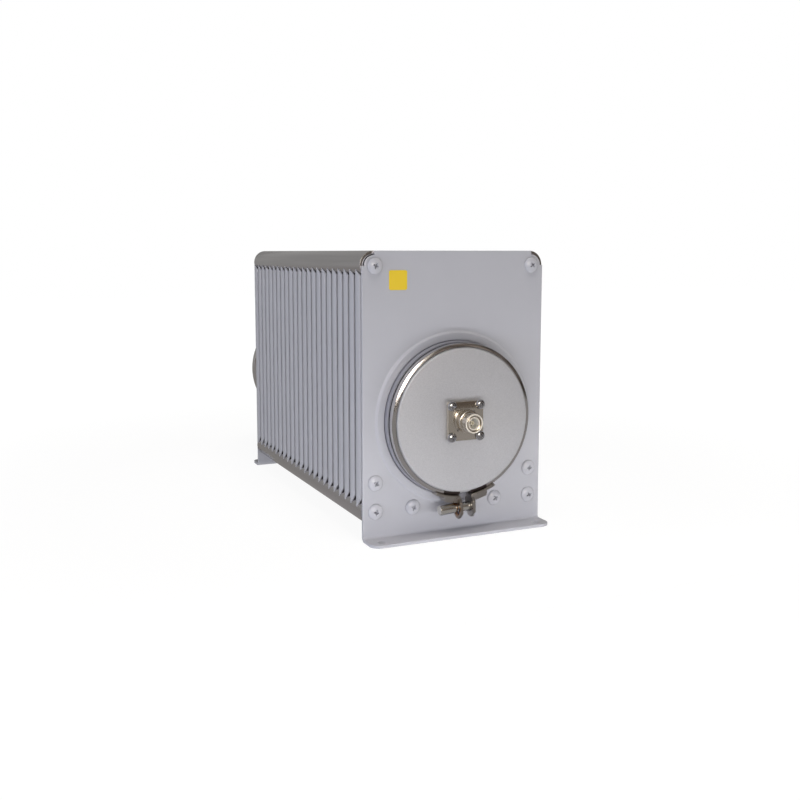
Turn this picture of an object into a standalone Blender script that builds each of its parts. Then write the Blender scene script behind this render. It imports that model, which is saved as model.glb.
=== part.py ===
"""Oil-filled coaxial load resistor with a finned tank between two sheet-metal end plates.

The tank lies along Y. The connector end looks towards -Y, +X is to the right and +Z is up.
Distances along Y are counted from the front plate's front face, and the frame empty then
moves the whole object so that the origin lies under the middle of it, on the ground.
"""

import math

import bmesh
import bpy
from mathutils import Matrix, Vector

for old_object in list(bpy.data.objects):
    bpy.data.objects.remove(old_object)

# Fits
seat = 0.0003
collar_clearance = 0.0005
screw_clearance = 0.0003
tube_fit = 0.0003

# Tank: the tube's radius drives the collars, the rims, the cover, the clamps and the plates' width
tank_radius = 0.0540
tank_wall = 0.0020
collar_wall = 0.0093
collar_proud = 0.0065
collar_depth = 0.0020
neck_wall = 0.0035
neck_length = 0.0017
rim_height = 0.0030
rim_width = 0.0013
rim_taper = 0.0011
rear_reach = 0.0820

# End plates: 2.4 mm sheet with a foot bent outwards
plate_height = 0.231
plate_thickness = 0.0024
plate_side_margin = 0.0100
plate_base_margin = 0.0240
foot_length = 0.0210
foot_bend_radius = 0.0020
foot_corner_radius = 0.0080
foot_hole_radius = 0.0033
foot_hole_side = 0.0106
foot_hole_inset = 0.0082
corner_cut_radius = 0.0085
emboss_width = 0.0077
emboss_slope = 0.0022
emboss_height = 0.0014

# Tie bars in the four corners
bar_radius = 0.0118
bar_recess_radius = 0.0089
bar_recess_depth = 0.0030
bar_side_margin = 0.0108
bar_low_z = 0.0237

# Plate screws with truss heads
screw_head_radius = 0.0064
screw_head_height = 0.0024
screw_head_flat = 0.0038
screw_head_crown = 0.0004
screw_head_edge = 0.0007
screw_radius = 0.0024
screw_length = 0.0120
nut_screw_length = 0.0058
rear_screw_sink = 0.00005
side_screw_rise = 0.0234
inner_screw_rise = 0.0004
inner_screw_share = 0.535
clinch_nut_radius = 0.0056
clinch_nut_height = 0.0032

# Fins: stamped sheet with the side edges bent forwards
fin_count = 23
fin_pitch = 0.0130
fin_thickness = 0.0012
fin_bend_radius = 0.0025
fin_reach = 0.0113
fin_over_bar = 0.0080
fin_mitre_top = 0.0074
fin_mitre_bottom = 0.0113
notch_sweep = math.radians(170.0)

# Front cover
cover_rim_step = 0.0018
cover_thickness = 0.0052
cover_edge = 0.0009
spigot_length = 0.0060
cover_bore_radius = 0.0080
gasket_inset = 0.0012
gasket_cord_radius = 0.0010

# V-band clamps
band_wall = 0.0014
band_lip_clearance = 0.0004
clamp_gap = 0.0090
clamp_turn = math.radians(-2.9)
strap_thickness = 0.0018
tab_thickness = 0.0022
band_set_back = 0.0008
band_shoulder = 0.0010
strap_sink = 0.0010
small_chamfer = 0.0006
strap_width = 0.0074
tab_width = 0.0130
tab_chamfer = 0.0040
lug_arc = math.radians(26.0)
lug_drop = 0.0195
brace_reach = 0.0190
bolt_radius = 0.0038
bolt_drop = 0.0105
bolt_end = 0.0015
barrel_nut_radius = 0.0041
barrel_nut_length = 0.0165
bolt_thread_radius = 0.0025
bolt_thread_length = 0.0110

# Type N jack
flange_side = 0.03175
flange_thickness = 0.0030
flange_corner = 0.0030
flange_screw_spacing = 0.0254
jack_foot_radius = 0.0102
jack_boss_radius = 0.0088
jack_boss_length = 0.0024
jack_relief_radius = 0.0074
jack_relief_length = 0.0014
jack_thread_radius = 0.00794
jack_lead_radius = 0.0072
jack_lead_length = 0.0012
jack_length = 0.0145
jack_mouth_radius = 0.0046
jack_bore_radius = 0.0042
jack_bore_depth = 0.0092
jack_line_radius = 0.0036
contact_radius = 0.0015
contact_set_back = 0.0052
contact_tail = 0.0040
contact_socket_radius = 0.0009
contact_socket_depth = 0.0030
jack_screw_head_radius = 0.0041
jack_screw_head_height = 0.0027
jack_screw_head_flat = 0.0020
jack_screw_head_crown = 0.0010
jack_screw_radius = 0.0019
jack_screw_length = 0.0062

# Resistor and its tapered housing
resistor_radius = 0.0090
resistor_length = 0.2000
housing_front_radius = 0.0260
housing_rear_radius = 0.0130
housing_wall = 0.0016
housing_length = 0.2120
housing_flange_radius = 0.0330
housing_flange_thickness = 0.0030

# Rear cover, diaphragm and vent plug
dome_depth = 0.0120
dome_wall = 0.0016
dome_flat_radius = 0.0300
diaphragm_thickness = 0.0020
diaphragm_fold = 0.0060
plug_bore_radius = 0.0060
plug_hex_radius = 0.0095
plug_head_height = 0.0060

# Facets of a full turn
large_turn = 26
housing_turn = 14
fin_hole_turn = 16
bar_turn = 14
jack_turn = 14
foot_hole_turn = 10
insulator_turn = 10
rod_turn = 10
small_turn = 8
hexagon_turn = 6
cord_turn = 4
notch_steps = 4
bend_steps = 2
corner_steps = 4

# Worked out from the sizes above
tank_bore = tank_radius - tank_wall
ring_bore = tank_radius + tube_fit
collar_radius = tank_radius + collar_wall
neck_radius = tank_radius + neck_wall
rim_radius = neck_radius + rim_height
cover_boss_radius = rim_radius - cover_rim_step
gasket_groove_radius = tank_radius + gasket_inset
plate_hole_radius = collar_radius + collar_clearance
emboss_outer_radius = plate_hole_radius + emboss_width
axis_z = emboss_outer_radius + plate_base_margin
plate_half = emboss_outer_radius + plate_side_margin
bar_x = plate_half - bar_side_margin
bar_high_z = plate_height - bar_radius
fin_half_width = bar_x + bar_radius
foot_hole_x = plate_half - foot_hole_side
side_screw_z = bar_low_z + side_screw_rise
inner_screw_x = bar_x * inner_screw_share
inner_screw_z = bar_low_z + inner_screw_rise
fin_zone = 2 * seat + fin_reach + (fin_count - 1) * fin_pitch
body_length = fin_zone + 2 * plate_thickness
bar_length = fin_zone - 2 * seat
front_joint = -(collar_proud + neck_length + rim_taper + rim_width) - seat / 2
rear_joint = body_length + rear_reach
cover_face = front_joint - seat / 2 - cover_thickness
flange_face = cover_face - seat - flange_thickness
jack_mouth = flange_face - jack_length
gasket_groove_depth = 2 * gasket_cord_radius + seat
band_inner = (rim_radius + seat) / math.cos(math.pi / large_turn)
band_outer = band_inner + band_wall
band_lip_radius = (cover_boss_radius + band_lip_clearance) / math.cos(math.pi / large_turn)
dome_back = rear_joint + diaphragm_thickness / 2 + seat + dome_wall + dome_depth
rear_tip = dome_back + seat + plug_head_height
frame_y = -(jack_mouth + rear_tip) / 2
bar_places = [(sx * bar_x, z) for z in (bar_high_z, bar_low_z) for sx in (-1, 1)]
nut_places = [(-bar_x, side_screw_z), (bar_x, side_screw_z)]
nut_places += [(-inner_screw_x, inner_screw_z), (inner_screw_x, inner_screw_z)]

parts = bpy.data.collections.new("coaxial_load")
cutters = bpy.data.collections.new("cutters")
bpy.context.scene.collection.children.link(parts)
bpy.context.scene.collection.children.link(cutters)

frame = bpy.data.objects.new("load_frame", None)
frame.location = (0.0, frame_y, 0.0)
parts.objects.link(frame)

axis_frame = bpy.data.objects.new("tank_axis", None)
axis_frame.location = (0.0, 0.0, axis_z)
axis_frame.parent = frame
parts.objects.link(axis_frame)


def material(name, colour, roughness, metallic):
    """A Principled material with one plain colour."""
    made = bpy.data.materials.new(name)
    made.use_nodes = True
    shader = made.node_tree.nodes["Principled BSDF"]
    shader.inputs["Base Color"].default_value = (*colour, 1.0)
    shader.inputs["Roughness"].default_value = roughness
    shader.inputs["Metallic"].default_value = metallic
    made.diffuse_color = (*colour, 1.0)
    return made


def place(name, mesh, look, parent=frame, location=(0.0, 0.0, 0.0), cutter=False):
    """A named object with its own copy of a look."""
    made = bpy.data.objects.new(name, mesh)
    made.parent = parent
    made.location = location
    if cutter:
        cutters.objects.link(made)
        made.hide_render = True
        made.display_type = "WIRE"
        return made
    parts.objects.link(made)
    if not mesh.materials:
        mesh.materials.append(material(name, *look))
    return made


def finish(bm, name):
    """The bmesh as a mesh, with its faces pointing out and smooth round faces."""
    bmesh.ops.recalc_face_normals(bm, faces=bm.faces)
    mesh = bpy.data.meshes.new(name)
    bm.to_mesh(mesh)
    bm.free()
    mesh.shade_smooth()
    mesh.set_sharp_from_angle(angle=math.radians(35.0))
    return mesh


def turned(name, profile, look, turn, parent=axis_frame, location=(0.0, 0.0, 0.0), cutter=False):
    """A body turned about Y from (y, radius) points, closed on itself or ending on the axis."""
    mesh = bpy.data.meshes.new(name)
    count = len(profile)
    pairs = zip(profile, profile[1:] + profile[:1])
    if sum(y0 * r1 - y1 * r0 for (y0, r0), (y1, r1) in pairs) < 0.0:
        profile = list(reversed(profile))
    edges = [(i, i + 1) for i in range(count - 1)]
    if profile[0][1] > 0.0:
        edges.append((count - 1, 0))
    mesh.from_pydata([(radius, y, 0.0) for y, radius in profile], edges, [])
    made = place(name, mesh, look, parent, location, cutter)
    screw = made.modifiers.new("turn", "SCREW")
    screw.axis = "Y"
    screw.steps = turn
    screw.render_steps = turn
    screw.use_merge_vertices = True
    screw.merge_threshold = 0.00001
    screw.use_smooth_shade = True
    return made


def rods(name, places, radius, y0, y1, turn, parent=frame):
    """Cylinders along Y at (x, z) places, as one tool body."""
    bm = bmesh.new()
    for x, z in places:
        along = Matrix.Translation((x, (y0 + y1) / 2, z)) @ Matrix.Rotation(math.pi / 2, 4, "X")
        bmesh.ops.create_cone(bm, cap_ends=True, segments=turn, radius1=radius, radius2=radius,
                              depth=y1 - y0, matrix=along)
    return place(name, finish(bm, name), None, parent, cutter=True)


def boolean(target, operation, tool):
    """A live Boolean with the exact solver."""
    cut = target.modifiers.new(operation.lower(), "BOOLEAN")
    cut.operation = operation
    cut.object = tool
    cut.solver = "EXACT"


def arc(centre, radius, start, end, steps):
    """Points of a circular arc in a plane, both ends included."""
    turn = (end - start) / steps
    return [(centre[0] + radius * math.cos(start + turn * i),
             centre[1] + radius * math.sin(start + turn * i)) for i in range(steps + 1)]


def loop_of(bm, points):
    """A closed loop of vertices and edges."""
    verts = [bm.verts.new(point) for point in points]
    edges = [bm.edges.new((verts[i], verts[(i + 1) % len(verts)])) for i in range(len(verts))]
    return verts, edges


def bridge(bm, first, second, closed):
    """Quads between two rows of vertices."""
    last = len(first) if closed else len(first) - 1
    for i in range(last):
        j = (i + 1) % len(first)
        bm.faces.new((first[i], first[j], second[j], second[i]))


def extruded(name, loops, vector, parent):
    """A flat outline, with any holes as further loops, drawn out along a vector as a tool body."""
    bm = bmesh.new()
    edges = []
    for points in loops:
        edges += loop_of(bm, points)[1]
    bmesh.ops.triangle_fill(bm, use_beauty=True, edges=edges)
    grown = bmesh.ops.extrude_face_region(bm, geom=bm.faces[:])
    moved = [part for part in grown["geom"] if isinstance(part, bmesh.types.BMVert)]
    bmesh.ops.translate(bm, vec=vector, verts=moved)
    return place(name, finish(bm, name), None, parent, cutter=True)


def thicken(made, thickness):
    """Thickness behind the outer side of an open surface."""
    solid = made.modifiers.new("thickness", "SOLIDIFY")
    solid.thickness = thickness
    solid.offset = -1.0
    solid.use_even_offset = True


def sheet(name, bm, thickness, look, outwards, location):
    """A sheet-metal piece made from its outer side."""
    bmesh.ops.recalc_face_normals(bm, faces=bm.faces)
    bm.normal_update()
    if sum(face.calc_area() * face.normal.dot(Vector(outwards)) for face in bm.faces) < 0.0:
        bmesh.ops.reverse_faces(bm, faces=bm.faces)
    mesh = bpy.data.meshes.new(name)
    bm.to_mesh(mesh)
    bm.free()
    made = place(name, mesh, look, frame, location)
    thicken(made, thickness)
    return made


paint = ((0.46, 0.47, 0.51), 0.42, 0.0)
bar_paint = ((0.42, 0.43, 0.46), 0.35, 0.0)
aluminium = ((0.72, 0.72, 0.73), 0.38, 1.0)
stainless = ((0.62, 0.61, 0.60), 0.16, 1.0)
nickel = ((0.66, 0.60, 0.52), 0.24, 1.0)
polished = ((0.75, 0.75, 0.76), 0.12, 1.0)
gold = ((0.80, 0.62, 0.28), 0.25, 1.0)
fluoropolymer = ((0.85, 0.85, 0.83), 0.45, 0.0)
black_rubber = ((0.03, 0.03, 0.03), 0.70, 0.0)
ceramic = ((0.75, 0.70, 0.62), 0.55, 0.0)
dark_paint = ((0.09, 0.09, 0.09), 0.45, 0.0)


def plate_surface():
    """The outer side of an end plate: panel, drawn ring round the tank hole, bend and foot."""
    bm = bmesh.new()
    bend_z = plate_thickness + foot_bend_radius
    left = arc((-bar_x, bar_high_z), corner_cut_radius, math.pi, math.pi / 2, corner_steps)
    outline = [(-plate_half, bend_z), (-plate_half, bar_high_z)] + left + [(-bar_x, plate_height)]
    outline += [(-x, z) for x, z in reversed(outline)]
    panel, panel_edges = loop_of(bm, [(x, 0.0, z) for x, z in outline])

    def ring(radius, y):
        turn = 2 * math.pi / large_turn
        return [(radius * math.cos(turn * i), y, axis_z + radius * math.sin(turn * i))
                for i in range(large_turn)]

    foot_of_ring, ring_edges = loop_of(bm, ring(emboss_outer_radius, 0.0))
    land, _ = loop_of(bm, ring(emboss_outer_radius - emboss_slope, -emboss_height))
    hole, _ = loop_of(bm, ring(plate_hole_radius, -emboss_height))
    bmesh.ops.triangle_fill(bm, use_beauty=True, edges=panel_edges + ring_edges, normal=(0.0, -1.0, 0.0))
    bridge(bm, foot_of_ring, land, True)
    bridge(bm, land, hole, True)

    row = [panel[0], panel[-1]]
    for y, z in arc((-foot_bend_radius, bend_z), foot_bend_radius, 0.0, -math.pi / 2, bend_steps)[1:]:
        next_row = [bm.verts.new((-plate_half, y, z)), bm.verts.new((plate_half, y, z))]
        bridge(bm, row, next_row, False)
        row = next_row
    tip = arc((-plate_half + foot_corner_radius, -foot_length + foot_corner_radius),
              foot_corner_radius, math.pi, 1.5 * math.pi, corner_steps)
    tip += [(-x, y) for x, y in reversed(tip)]
    foot = [row[0]] + [bm.verts.new((x, y, plate_thickness)) for x, y in tip] + [row[1]]
    bm.faces.new(foot)
    return bm


def end_plate(name, location):
    """An end plate with clinch nuts on its inner side and two foot holes."""
    made = sheet(name, plate_surface(), plate_thickness, paint, (0.0, -1.0, 0.0), location)
    nuts = rods(name + "_nuts", nut_places, clinch_nut_radius, plate_thickness / 2,
                plate_thickness + clinch_nut_height, hexagon_turn, made)
    boolean(made, "UNION", nuts)
    foot_y = -(foot_length - foot_hole_inset)
    bm = bmesh.new()
    for sx in (-1, 1):
        bmesh.ops.create_cone(bm, cap_ends=True, segments=foot_hole_turn, radius1=foot_hole_radius,
                              radius2=foot_hole_radius, depth=3 * plate_thickness,
                              matrix=Matrix.Translation((sx * foot_hole_x, foot_y, plate_thickness / 2)))
    drill = place(name + "_foot_drill", finish(bm, name + "_foot_drill"), None, made, cutter=True)
    boolean(made, "DIFFERENCE", drill)
    return made


def truss_profile(length):
    """A truss-head screw from the tip of its head to the end of its shank."""
    top = -seat - screw_head_height
    return [(top, 0.0), (top + screw_head_crown, screw_head_flat),
            (-seat - screw_head_edge, screw_head_radius), (-seat, screw_head_radius),
            (-seat, screw_radius), (length, screw_radius), (length, 0.0)]


def build_plates():
    """Both end plates. The front one is drilled for its screws, the rear one carries its own."""
    front = end_plate("front_end_plate", (0.0, 0.0, 0.0))
    drill = rods("front_screw_drill", bar_places + nut_places, screw_radius + screw_clearance,
                 -2 * plate_thickness, plate_thickness + 2 * clinch_nut_height, small_turn)
    boolean(front, "DIFFERENCE", drill)
    rear = end_plate("rear_end_plate", (0.0, body_length, 0.0))
    rear.rotation_euler.z = math.pi
    for number, (x, z) in enumerate(bar_places + nut_places, 1):
        length = screw_length if number <= len(bar_places) else nut_screw_length
        tool = turned("rear_screw_%d" % number, truss_profile(length), None, small_turn, rear,
                      (x, seat + rear_screw_sink, z), cutter=True)
        boolean(rear, "UNION", tool)
    for number, (x, z) in enumerate(bar_places + nut_places, 1):
        length = screw_length if number <= len(bar_places) else nut_screw_length
        turned("front_plate_screw_%d" % number, truss_profile(length), paint, small_turn, frame, (x, 0.0, z))


def build_bars():
    """Four tie bars, bored through for the screws and recessed at both ends."""
    bore = screw_radius + screw_clearance
    length = bar_length
    profile = [(0.0, bar_radius), (length, bar_radius), (length, bar_recess_radius),
               (length - bar_recess_depth, bar_recess_radius), (length - bar_recess_depth, bore),
               (bar_recess_depth, bore), (bar_recess_depth, bar_recess_radius), (0.0, bar_recess_radius)]
    for number, (x, z) in enumerate(bar_places, 1):
        turned("tie_bar_%d" % number, profile, bar_paint, bar_turn, frame, (x, plate_thickness + seat, z))


def fin_surface():
    """The outer side of a fin: the rear of its web and the outside of its two flanges."""
    bm = bmesh.new()
    step = notch_sweep / notch_steps
    notch_radius = (bar_radius + tube_fit) / math.cos(step / 2)
    web_half = fin_half_width - fin_bend_radius

    def notch_reach(x):
        return math.sqrt(max(notch_radius ** 2 - (x - bar_x) ** 2, 0.0))

    start = math.atan2(-notch_reach(web_half), web_half - bar_x)
    end = math.pi - math.asin(fin_over_bar / notch_radius)
    high = arc((bar_x, bar_high_z), notch_radius, start, end - 2 * math.pi, notch_steps)
    low = [(x, bar_low_z + bar_high_z - z) for x, z in high]
    right = list(reversed(low)) + high
    outline = right + [(-x, z) for x, z in reversed(right)]
    web, web_edges = loop_of(bm, [(x, 0.0, z) for x, z in outline])
    hole_radius = (tank_radius + tube_fit) / math.cos(math.pi / fin_hole_turn)
    turn = 2 * math.pi / fin_hole_turn
    hole = [(hole_radius * math.cos(turn * i), 0.0, axis_z + hole_radius * math.sin(turn * i))
            for i in range(fin_hole_turn)]
    _, hole_edges = loop_of(bm, hole)
    bmesh.ops.triangle_fill(bm, use_beauty=True, edges=web_edges + hole_edges, normal=(0.0, 1.0, 0.0))

    half = len(right) // 2
    for sx, row in ((1, [web[half - 1], web[half]]), (-1, [web[-half], web[-half - 1]])):
        for i in range(1, bend_steps + 1):
            angle = math.pi / 2 * i / bend_steps
            x = web_half + fin_bend_radius * math.sin(angle)
            y = -fin_bend_radius * (1.0 - math.cos(angle))
            reach = notch_reach(x)
            next_row = [bm.verts.new((sx * x, y, bar_low_z + reach)),
                        bm.verts.new((sx * x, y, bar_high_z - reach))]
            bridge(bm, row, next_row, False)
            row = next_row
        edge = [bm.verts.new((sx * fin_half_width, -fin_reach, bar_low_z + fin_mitre_bottom)),
                bm.verts.new((sx * fin_half_width, -fin_reach, bar_high_z - fin_mitre_top))]
        bridge(bm, row, edge, False)
    return bm


def build_fins():
    """A row of equal fins that share one mesh, each flange ending just behind the fin before it."""
    first_web = plate_thickness + seat + fin_reach
    first = sheet("fin_01", fin_surface(), fin_thickness, paint, (0.0, 1.0, 0.0), (0.0, first_web, 0.0))
    web_y = first_web
    for number in range(2, fin_count + 1):
        web_y += fin_pitch
        last = place("fin_%02d" % number, first.data, paint, frame, (0.0, web_y, 0.0))
        thicken(last, fin_thickness)
    clear = rods("last_fin_clearance", nut_places, clinch_nut_radius + screw_clearance,
                 web_y - 2 * fin_thickness, web_y + fin_thickness, hexagon_turn)
    boolean(last, "DIFFERENCE", clear)


def build_tank():
    """The tank tube, and at each end a ring round it with a collar for the plate and a clamp rim."""
    front = front_joint + seat / 2
    rear = rear_joint - diaphragm_thickness / 2 - seat
    turned("tank", [(front, tank_bore), (front, tank_radius), (rear, tank_radius), (rear, tank_bore)],
           paint, large_turn)
    collar_end = plate_thickness + collar_depth
    turned("front_tank_ring",
           [(front, ring_bore), (front, rim_radius), (front + rim_width, rim_radius),
            (front + rim_width + rim_taper, neck_radius), (-collar_proud, neck_radius),
            (-collar_proud, collar_radius), (collar_end, collar_radius), (collar_end, ring_bore)],
           paint, large_turn)
    collar_start = body_length - plate_thickness
    collar_end = body_length + collar_depth
    turned("rear_tank_ring",
           [(collar_start, ring_bore), (collar_start, collar_radius), (collar_end, collar_radius),
            (collar_end, neck_radius), (rear - rim_width - rim_taper, neck_radius),
            (rear - rim_width, rim_radius), (rear, rim_radius), (rear, ring_bore)],
           paint, large_turn)


def build_front_cover():
    """The flat front cover with its clamp rim, spigot and gasket."""
    back = front_joint - seat / 2
    spigot_radius = tank_bore - seat
    groove_low = gasket_groove_radius - gasket_cord_radius - seat
    groove_high = gasket_groove_radius + gasket_cord_radius + seat
    profile = [(cover_face, cover_bore_radius), (cover_face, cover_boss_radius - cover_edge),
               (cover_face + cover_edge, cover_boss_radius),
               (back - rim_width - rim_taper / 2, cover_boss_radius), (back - rim_width, rim_radius),
               (back, rim_radius), (back, groove_high), (back - gasket_groove_depth, groove_high),
               (back - gasket_groove_depth, groove_low), (back, groove_low), (back, spigot_radius),
               (back + spigot_length, spigot_radius), (back + spigot_length, cover_bore_radius)]
    cover = turned("front_cover", profile, aluminium, large_turn)
    half = flange_screw_spacing / 2
    places = [(sx * half, sz * half) for sx in (-1, 1) for sz in (-1, 1)]
    drill = rods("cover_screw_drill", places, jack_screw_radius + screw_clearance, cover_face - seat,
                 flange_face + jack_screw_length + seat, small_turn, axis_frame)
    boolean(cover, "DIFFERENCE", drill)
    cord = arc((back - gasket_cord_radius, gasket_groove_radius), gasket_cord_radius, 0.0, 2 * math.pi,
               cord_turn)
    turned("cover_gasket", cord[:-1], black_rubber, large_turn)


def band_section(stack):
    """The V-shaped section of a clamp band, as (y, radius), over two rims a stack apart."""
    slope = rim_taper / (rim_radius - neck_radius)
    crown = stack / 2 + rim_width + seat
    lip = crown + slope * (band_inner - band_lip_radius)
    half = [(lip, band_lip_radius), (crown, band_inner)]
    outside = [(crown + band_shoulder, band_outer), (lip + band_wall, band_lip_radius)]
    loop = half + [(-y, r) for y, r in reversed(half)]
    loop += [(-y, r) for y, r in reversed(outside)] + outside
    return loop


def strap_outline(braced):
    """The strap at +X of the gap, seen from the front, with the root of its tab and its brace."""
    inner = band_outer - strap_sink
    outer = band_outer + strap_thickness
    near = clamp_gap / 2
    down = -math.pi / 2
    far = down + lug_arc
    root = -(band_outer + 2 * strap_thickness)
    points = arc((0.0, 0.0), inner, far, down + math.asin(near / inner), corner_steps)
    points += [(near, root), (near + strap_thickness, root)]
    if not braced:
        crease = down + math.asin((near + strap_thickness) / outer)
        return points + arc((0.0, 0.0), outer, crease, far, corner_steps)
    knee = -(band_outer + bolt_drop - bolt_radius)
    tip = down + brace_reach / outer
    toe = outer + strap_thickness
    points += [(near + strap_thickness, knee), (toe * math.cos(tip), toe * math.sin(tip))]
    return points + arc((0.0, 0.0), outer, tip, far, corner_steps // 2)


def tab_outline(x):
    """The tab of a lug, seen from the side, with chamfered lower corners."""
    top = -(band_outer + strap_thickness)
    bottom = -(band_outer + lug_drop)
    half = tab_width / 2
    flat = half - tab_chamfer
    return [(x, -half, top), (x, half, top), (x, half, bottom + tab_chamfer), (x, flat, bottom),
            (x, -flat, bottom), (x, -half, bottom + tab_chamfer)]


def clamp(prefix, joint_y, stack):
    """A V-band with two welded lugs, drawn together by a bolt and a barrel nut."""
    centre = bpy.data.objects.new(prefix + "_centre", None)
    centre.parent = axis_frame
    centre.location = (0.0, joint_y, 0.0)
    centre.rotation_euler.y = clamp_turn
    parts.objects.link(centre)

    bm = bmesh.new()
    half_gap = math.asin((clamp_gap / 2 + band_set_back) / rim_radius)
    section, edges = loop_of(bm, [(radius, y, 0.0) for y, radius in band_section(stack)])
    start = Matrix.Rotation(math.pi / 2 + half_gap, 3, "Y")
    bmesh.ops.rotate(bm, cent=(0.0, 0.0, 0.0), matrix=start, verts=section)
    bmesh.ops.spin(bm, geom=section + edges, cent=(0.0, 0.0, 0.0), axis=(0.0, 1.0, 0.0),
                   angle=2 * math.pi - 2 * half_gap, steps=large_turn, use_duplicate=False)
    bmesh.ops.holes_fill(bm, edges=[edge for edge in bm.edges if edge.is_boundary], sides=0)
    band = place(prefix + "_band", finish(bm, prefix + "_band"), stainless, centre)

    tab_end = (clamp_gap + strap_thickness + tab_thickness) / 2
    for side, sx in (("right", 1), ("left", -1)):
        name = "%s_%s" % (prefix, side)
        strap = [(sx * x, -strap_width / 2, z) for x, z in strap_outline(sx == 1)]
        boolean(band, "UNION", extruded(name + "_strap", [strap], (0.0, strap_width, 0.0), centre))
        tab = tab_outline(sx * (tab_end - tab_thickness))
        boolean(band, "UNION", extruded(name + "_tab", [tab], (sx * tab_thickness, 0.0, 0.0), centre))

    axis_drop = -(band_outer + bolt_drop)
    hole = turned(prefix + "_bolt_drill", [(-2 * tab_end, 0.0), (-2 * tab_end, bolt_radius + seat),
                                           (2 * tab_end, bolt_radius + seat), (2 * tab_end, 0.0)],
                  None, small_turn, centre, (0.0, 0.0, axis_drop), cutter=True)
    hole.rotation_euler.z = -math.pi / 2
    boolean(band, "DIFFERENCE", hole)

    shoulder = -tab_end
    bolt = turned(prefix + "_bolt",
                  [(tab_end + bolt_end, 0.0), (tab_end + bolt_end, bolt_radius - small_chamfer),
                   (tab_end + bolt_end - small_chamfer, bolt_radius), (shoulder, bolt_radius),
                   (shoulder, bolt_thread_radius), (shoulder - bolt_thread_length, bolt_thread_radius),
                   (shoulder - bolt_thread_length, 0.0)],
                  polished, rod_turn, centre, (0.0, 0.0, axis_drop))
    bolt.rotation_euler.z = -math.pi / 2
    nut_bore = bolt_thread_radius + seat
    nut = turned(prefix + "_nut",
                 [(shoulder - seat, nut_bore), (shoulder - seat, barrel_nut_radius),
                  (shoulder - barrel_nut_length + small_chamfer, barrel_nut_radius),
                  (shoulder - barrel_nut_length, barrel_nut_radius - small_chamfer),
                  (shoulder - barrel_nut_length, nut_bore)],
                 polished, rod_turn, centre, (0.0, 0.0, axis_drop))
    nut.rotation_euler.z = -math.pi / 2


def build_jack():
    """The type N jack: body with a square flange, insulator, centre contact and four screws."""
    back = cover_face + cover_thickness
    relief = flange_face - jack_boss_length
    thread = relief - jack_relief_length
    lead = jack_mouth + jack_lead_length
    bore_end = jack_mouth + jack_bore_depth
    neck = cover_bore_radius - seat
    lead_in = jack_mouth + small_chamfer
    profile = [(back, jack_line_radius), (back, neck), (flange_face + seat, neck),
               (flange_face + seat, jack_foot_radius), (flange_face, jack_foot_radius),
               (relief, jack_boss_radius), (relief, jack_relief_radius), (thread, jack_relief_radius),
               (thread, jack_thread_radius), (lead, jack_thread_radius), (lead, jack_lead_radius),
               (jack_mouth, jack_lead_radius), (jack_mouth, jack_mouth_radius), (lead_in, jack_bore_radius),
               (bore_end, jack_bore_radius), (bore_end, jack_line_radius)]
    body = turned("jack_body", profile, nickel, jack_turn)
    half = flange_screw_spacing / 2
    places = [(sx * half, sz * half) for sz in (1, -1) for sx in (-1, 1)]
    reach = flange_side / 2 - flange_corner
    outline = []
    for quarter, (x, z) in enumerate(((reach, reach), (-reach, reach), (-reach, -reach), (reach, -reach))):
        outline += arc((x, z), flange_corner, quarter * math.pi / 2, (quarter + 1) * math.pi / 2, 2)
    full = 2 * math.pi
    loops = [outline, arc((0.0, 0.0), (jack_line_radius + cover_bore_radius) / 2, 0.0, full,
                          jack_turn)[:-1]]
    loops += [arc(spot, jack_screw_radius + screw_clearance, 0.0, full, small_turn)[:-1] for spot in places]
    flange = extruded("jack_flange", [[(x, flange_face, z) for x, z in loop] for loop in loops],
                      (0.0, flange_thickness, 0.0), axis_frame)
    boolean(body, "UNION", flange)

    insulator_radius = jack_line_radius - seat
    contact_bore = contact_radius + seat
    turned("jack_insulator", [(bore_end + seat, contact_bore), (bore_end + seat, insulator_radius),
                              (back, insulator_radius), (back, contact_bore)], fluoropolymer,
           insulator_turn)
    tip = jack_mouth + contact_set_back
    socket_end = tip + contact_socket_depth
    turned("centre_contact", [(socket_end, 0.0), (socket_end, contact_socket_radius),
                              (tip, contact_socket_radius), (tip, contact_radius),
                              (back + contact_tail, contact_radius), (back + contact_tail, 0.0)], gold,
           rod_turn)
    top = flange_face - seat - jack_screw_head_height
    head = [(top, 0.0), (top, jack_screw_head_flat), (top + jack_screw_head_crown, jack_screw_head_radius),
            (flange_face - seat, jack_screw_head_radius), (flange_face - seat, jack_screw_radius),
            (flange_face + jack_screw_length, jack_screw_radius), (flange_face + jack_screw_length, 0.0)]
    for number, (x, z) in enumerate(places, 1):
        turned("jack_screw_%d" % number, head, polished, small_turn, axis_frame, (x, 0.0, z))


def build_resistor():
    """The load resistor on the centre contact, in a housing that tapers towards its far end."""
    back = cover_face + cover_thickness
    spigot_back = front_joint - seat / 2 + spigot_length
    start = spigot_back + seat
    contact_end = back + contact_tail
    front = contact_end + seat
    far = front + resistor_length
    turned("load_resistor",
           [(front, 0.0), (front, contact_radius), (front + resistor_radius, resistor_radius),
            (far, resistor_radius), (far, 0.0)], ceramic, jack_turn)
    outer_end = start + housing_length
    turned("resistor_housing",
           [(start, housing_front_radius - housing_wall), (start, housing_flange_radius),
            (start + housing_flange_thickness, housing_flange_radius),
            (start + housing_flange_thickness, housing_front_radius), (outer_end, housing_rear_radius),
            (outer_end, resistor_radius + seat), (outer_end - housing_wall, resistor_radius + seat),
            (outer_end - housing_wall, housing_rear_radius - housing_wall)], aluminium, housing_turn)


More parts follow.
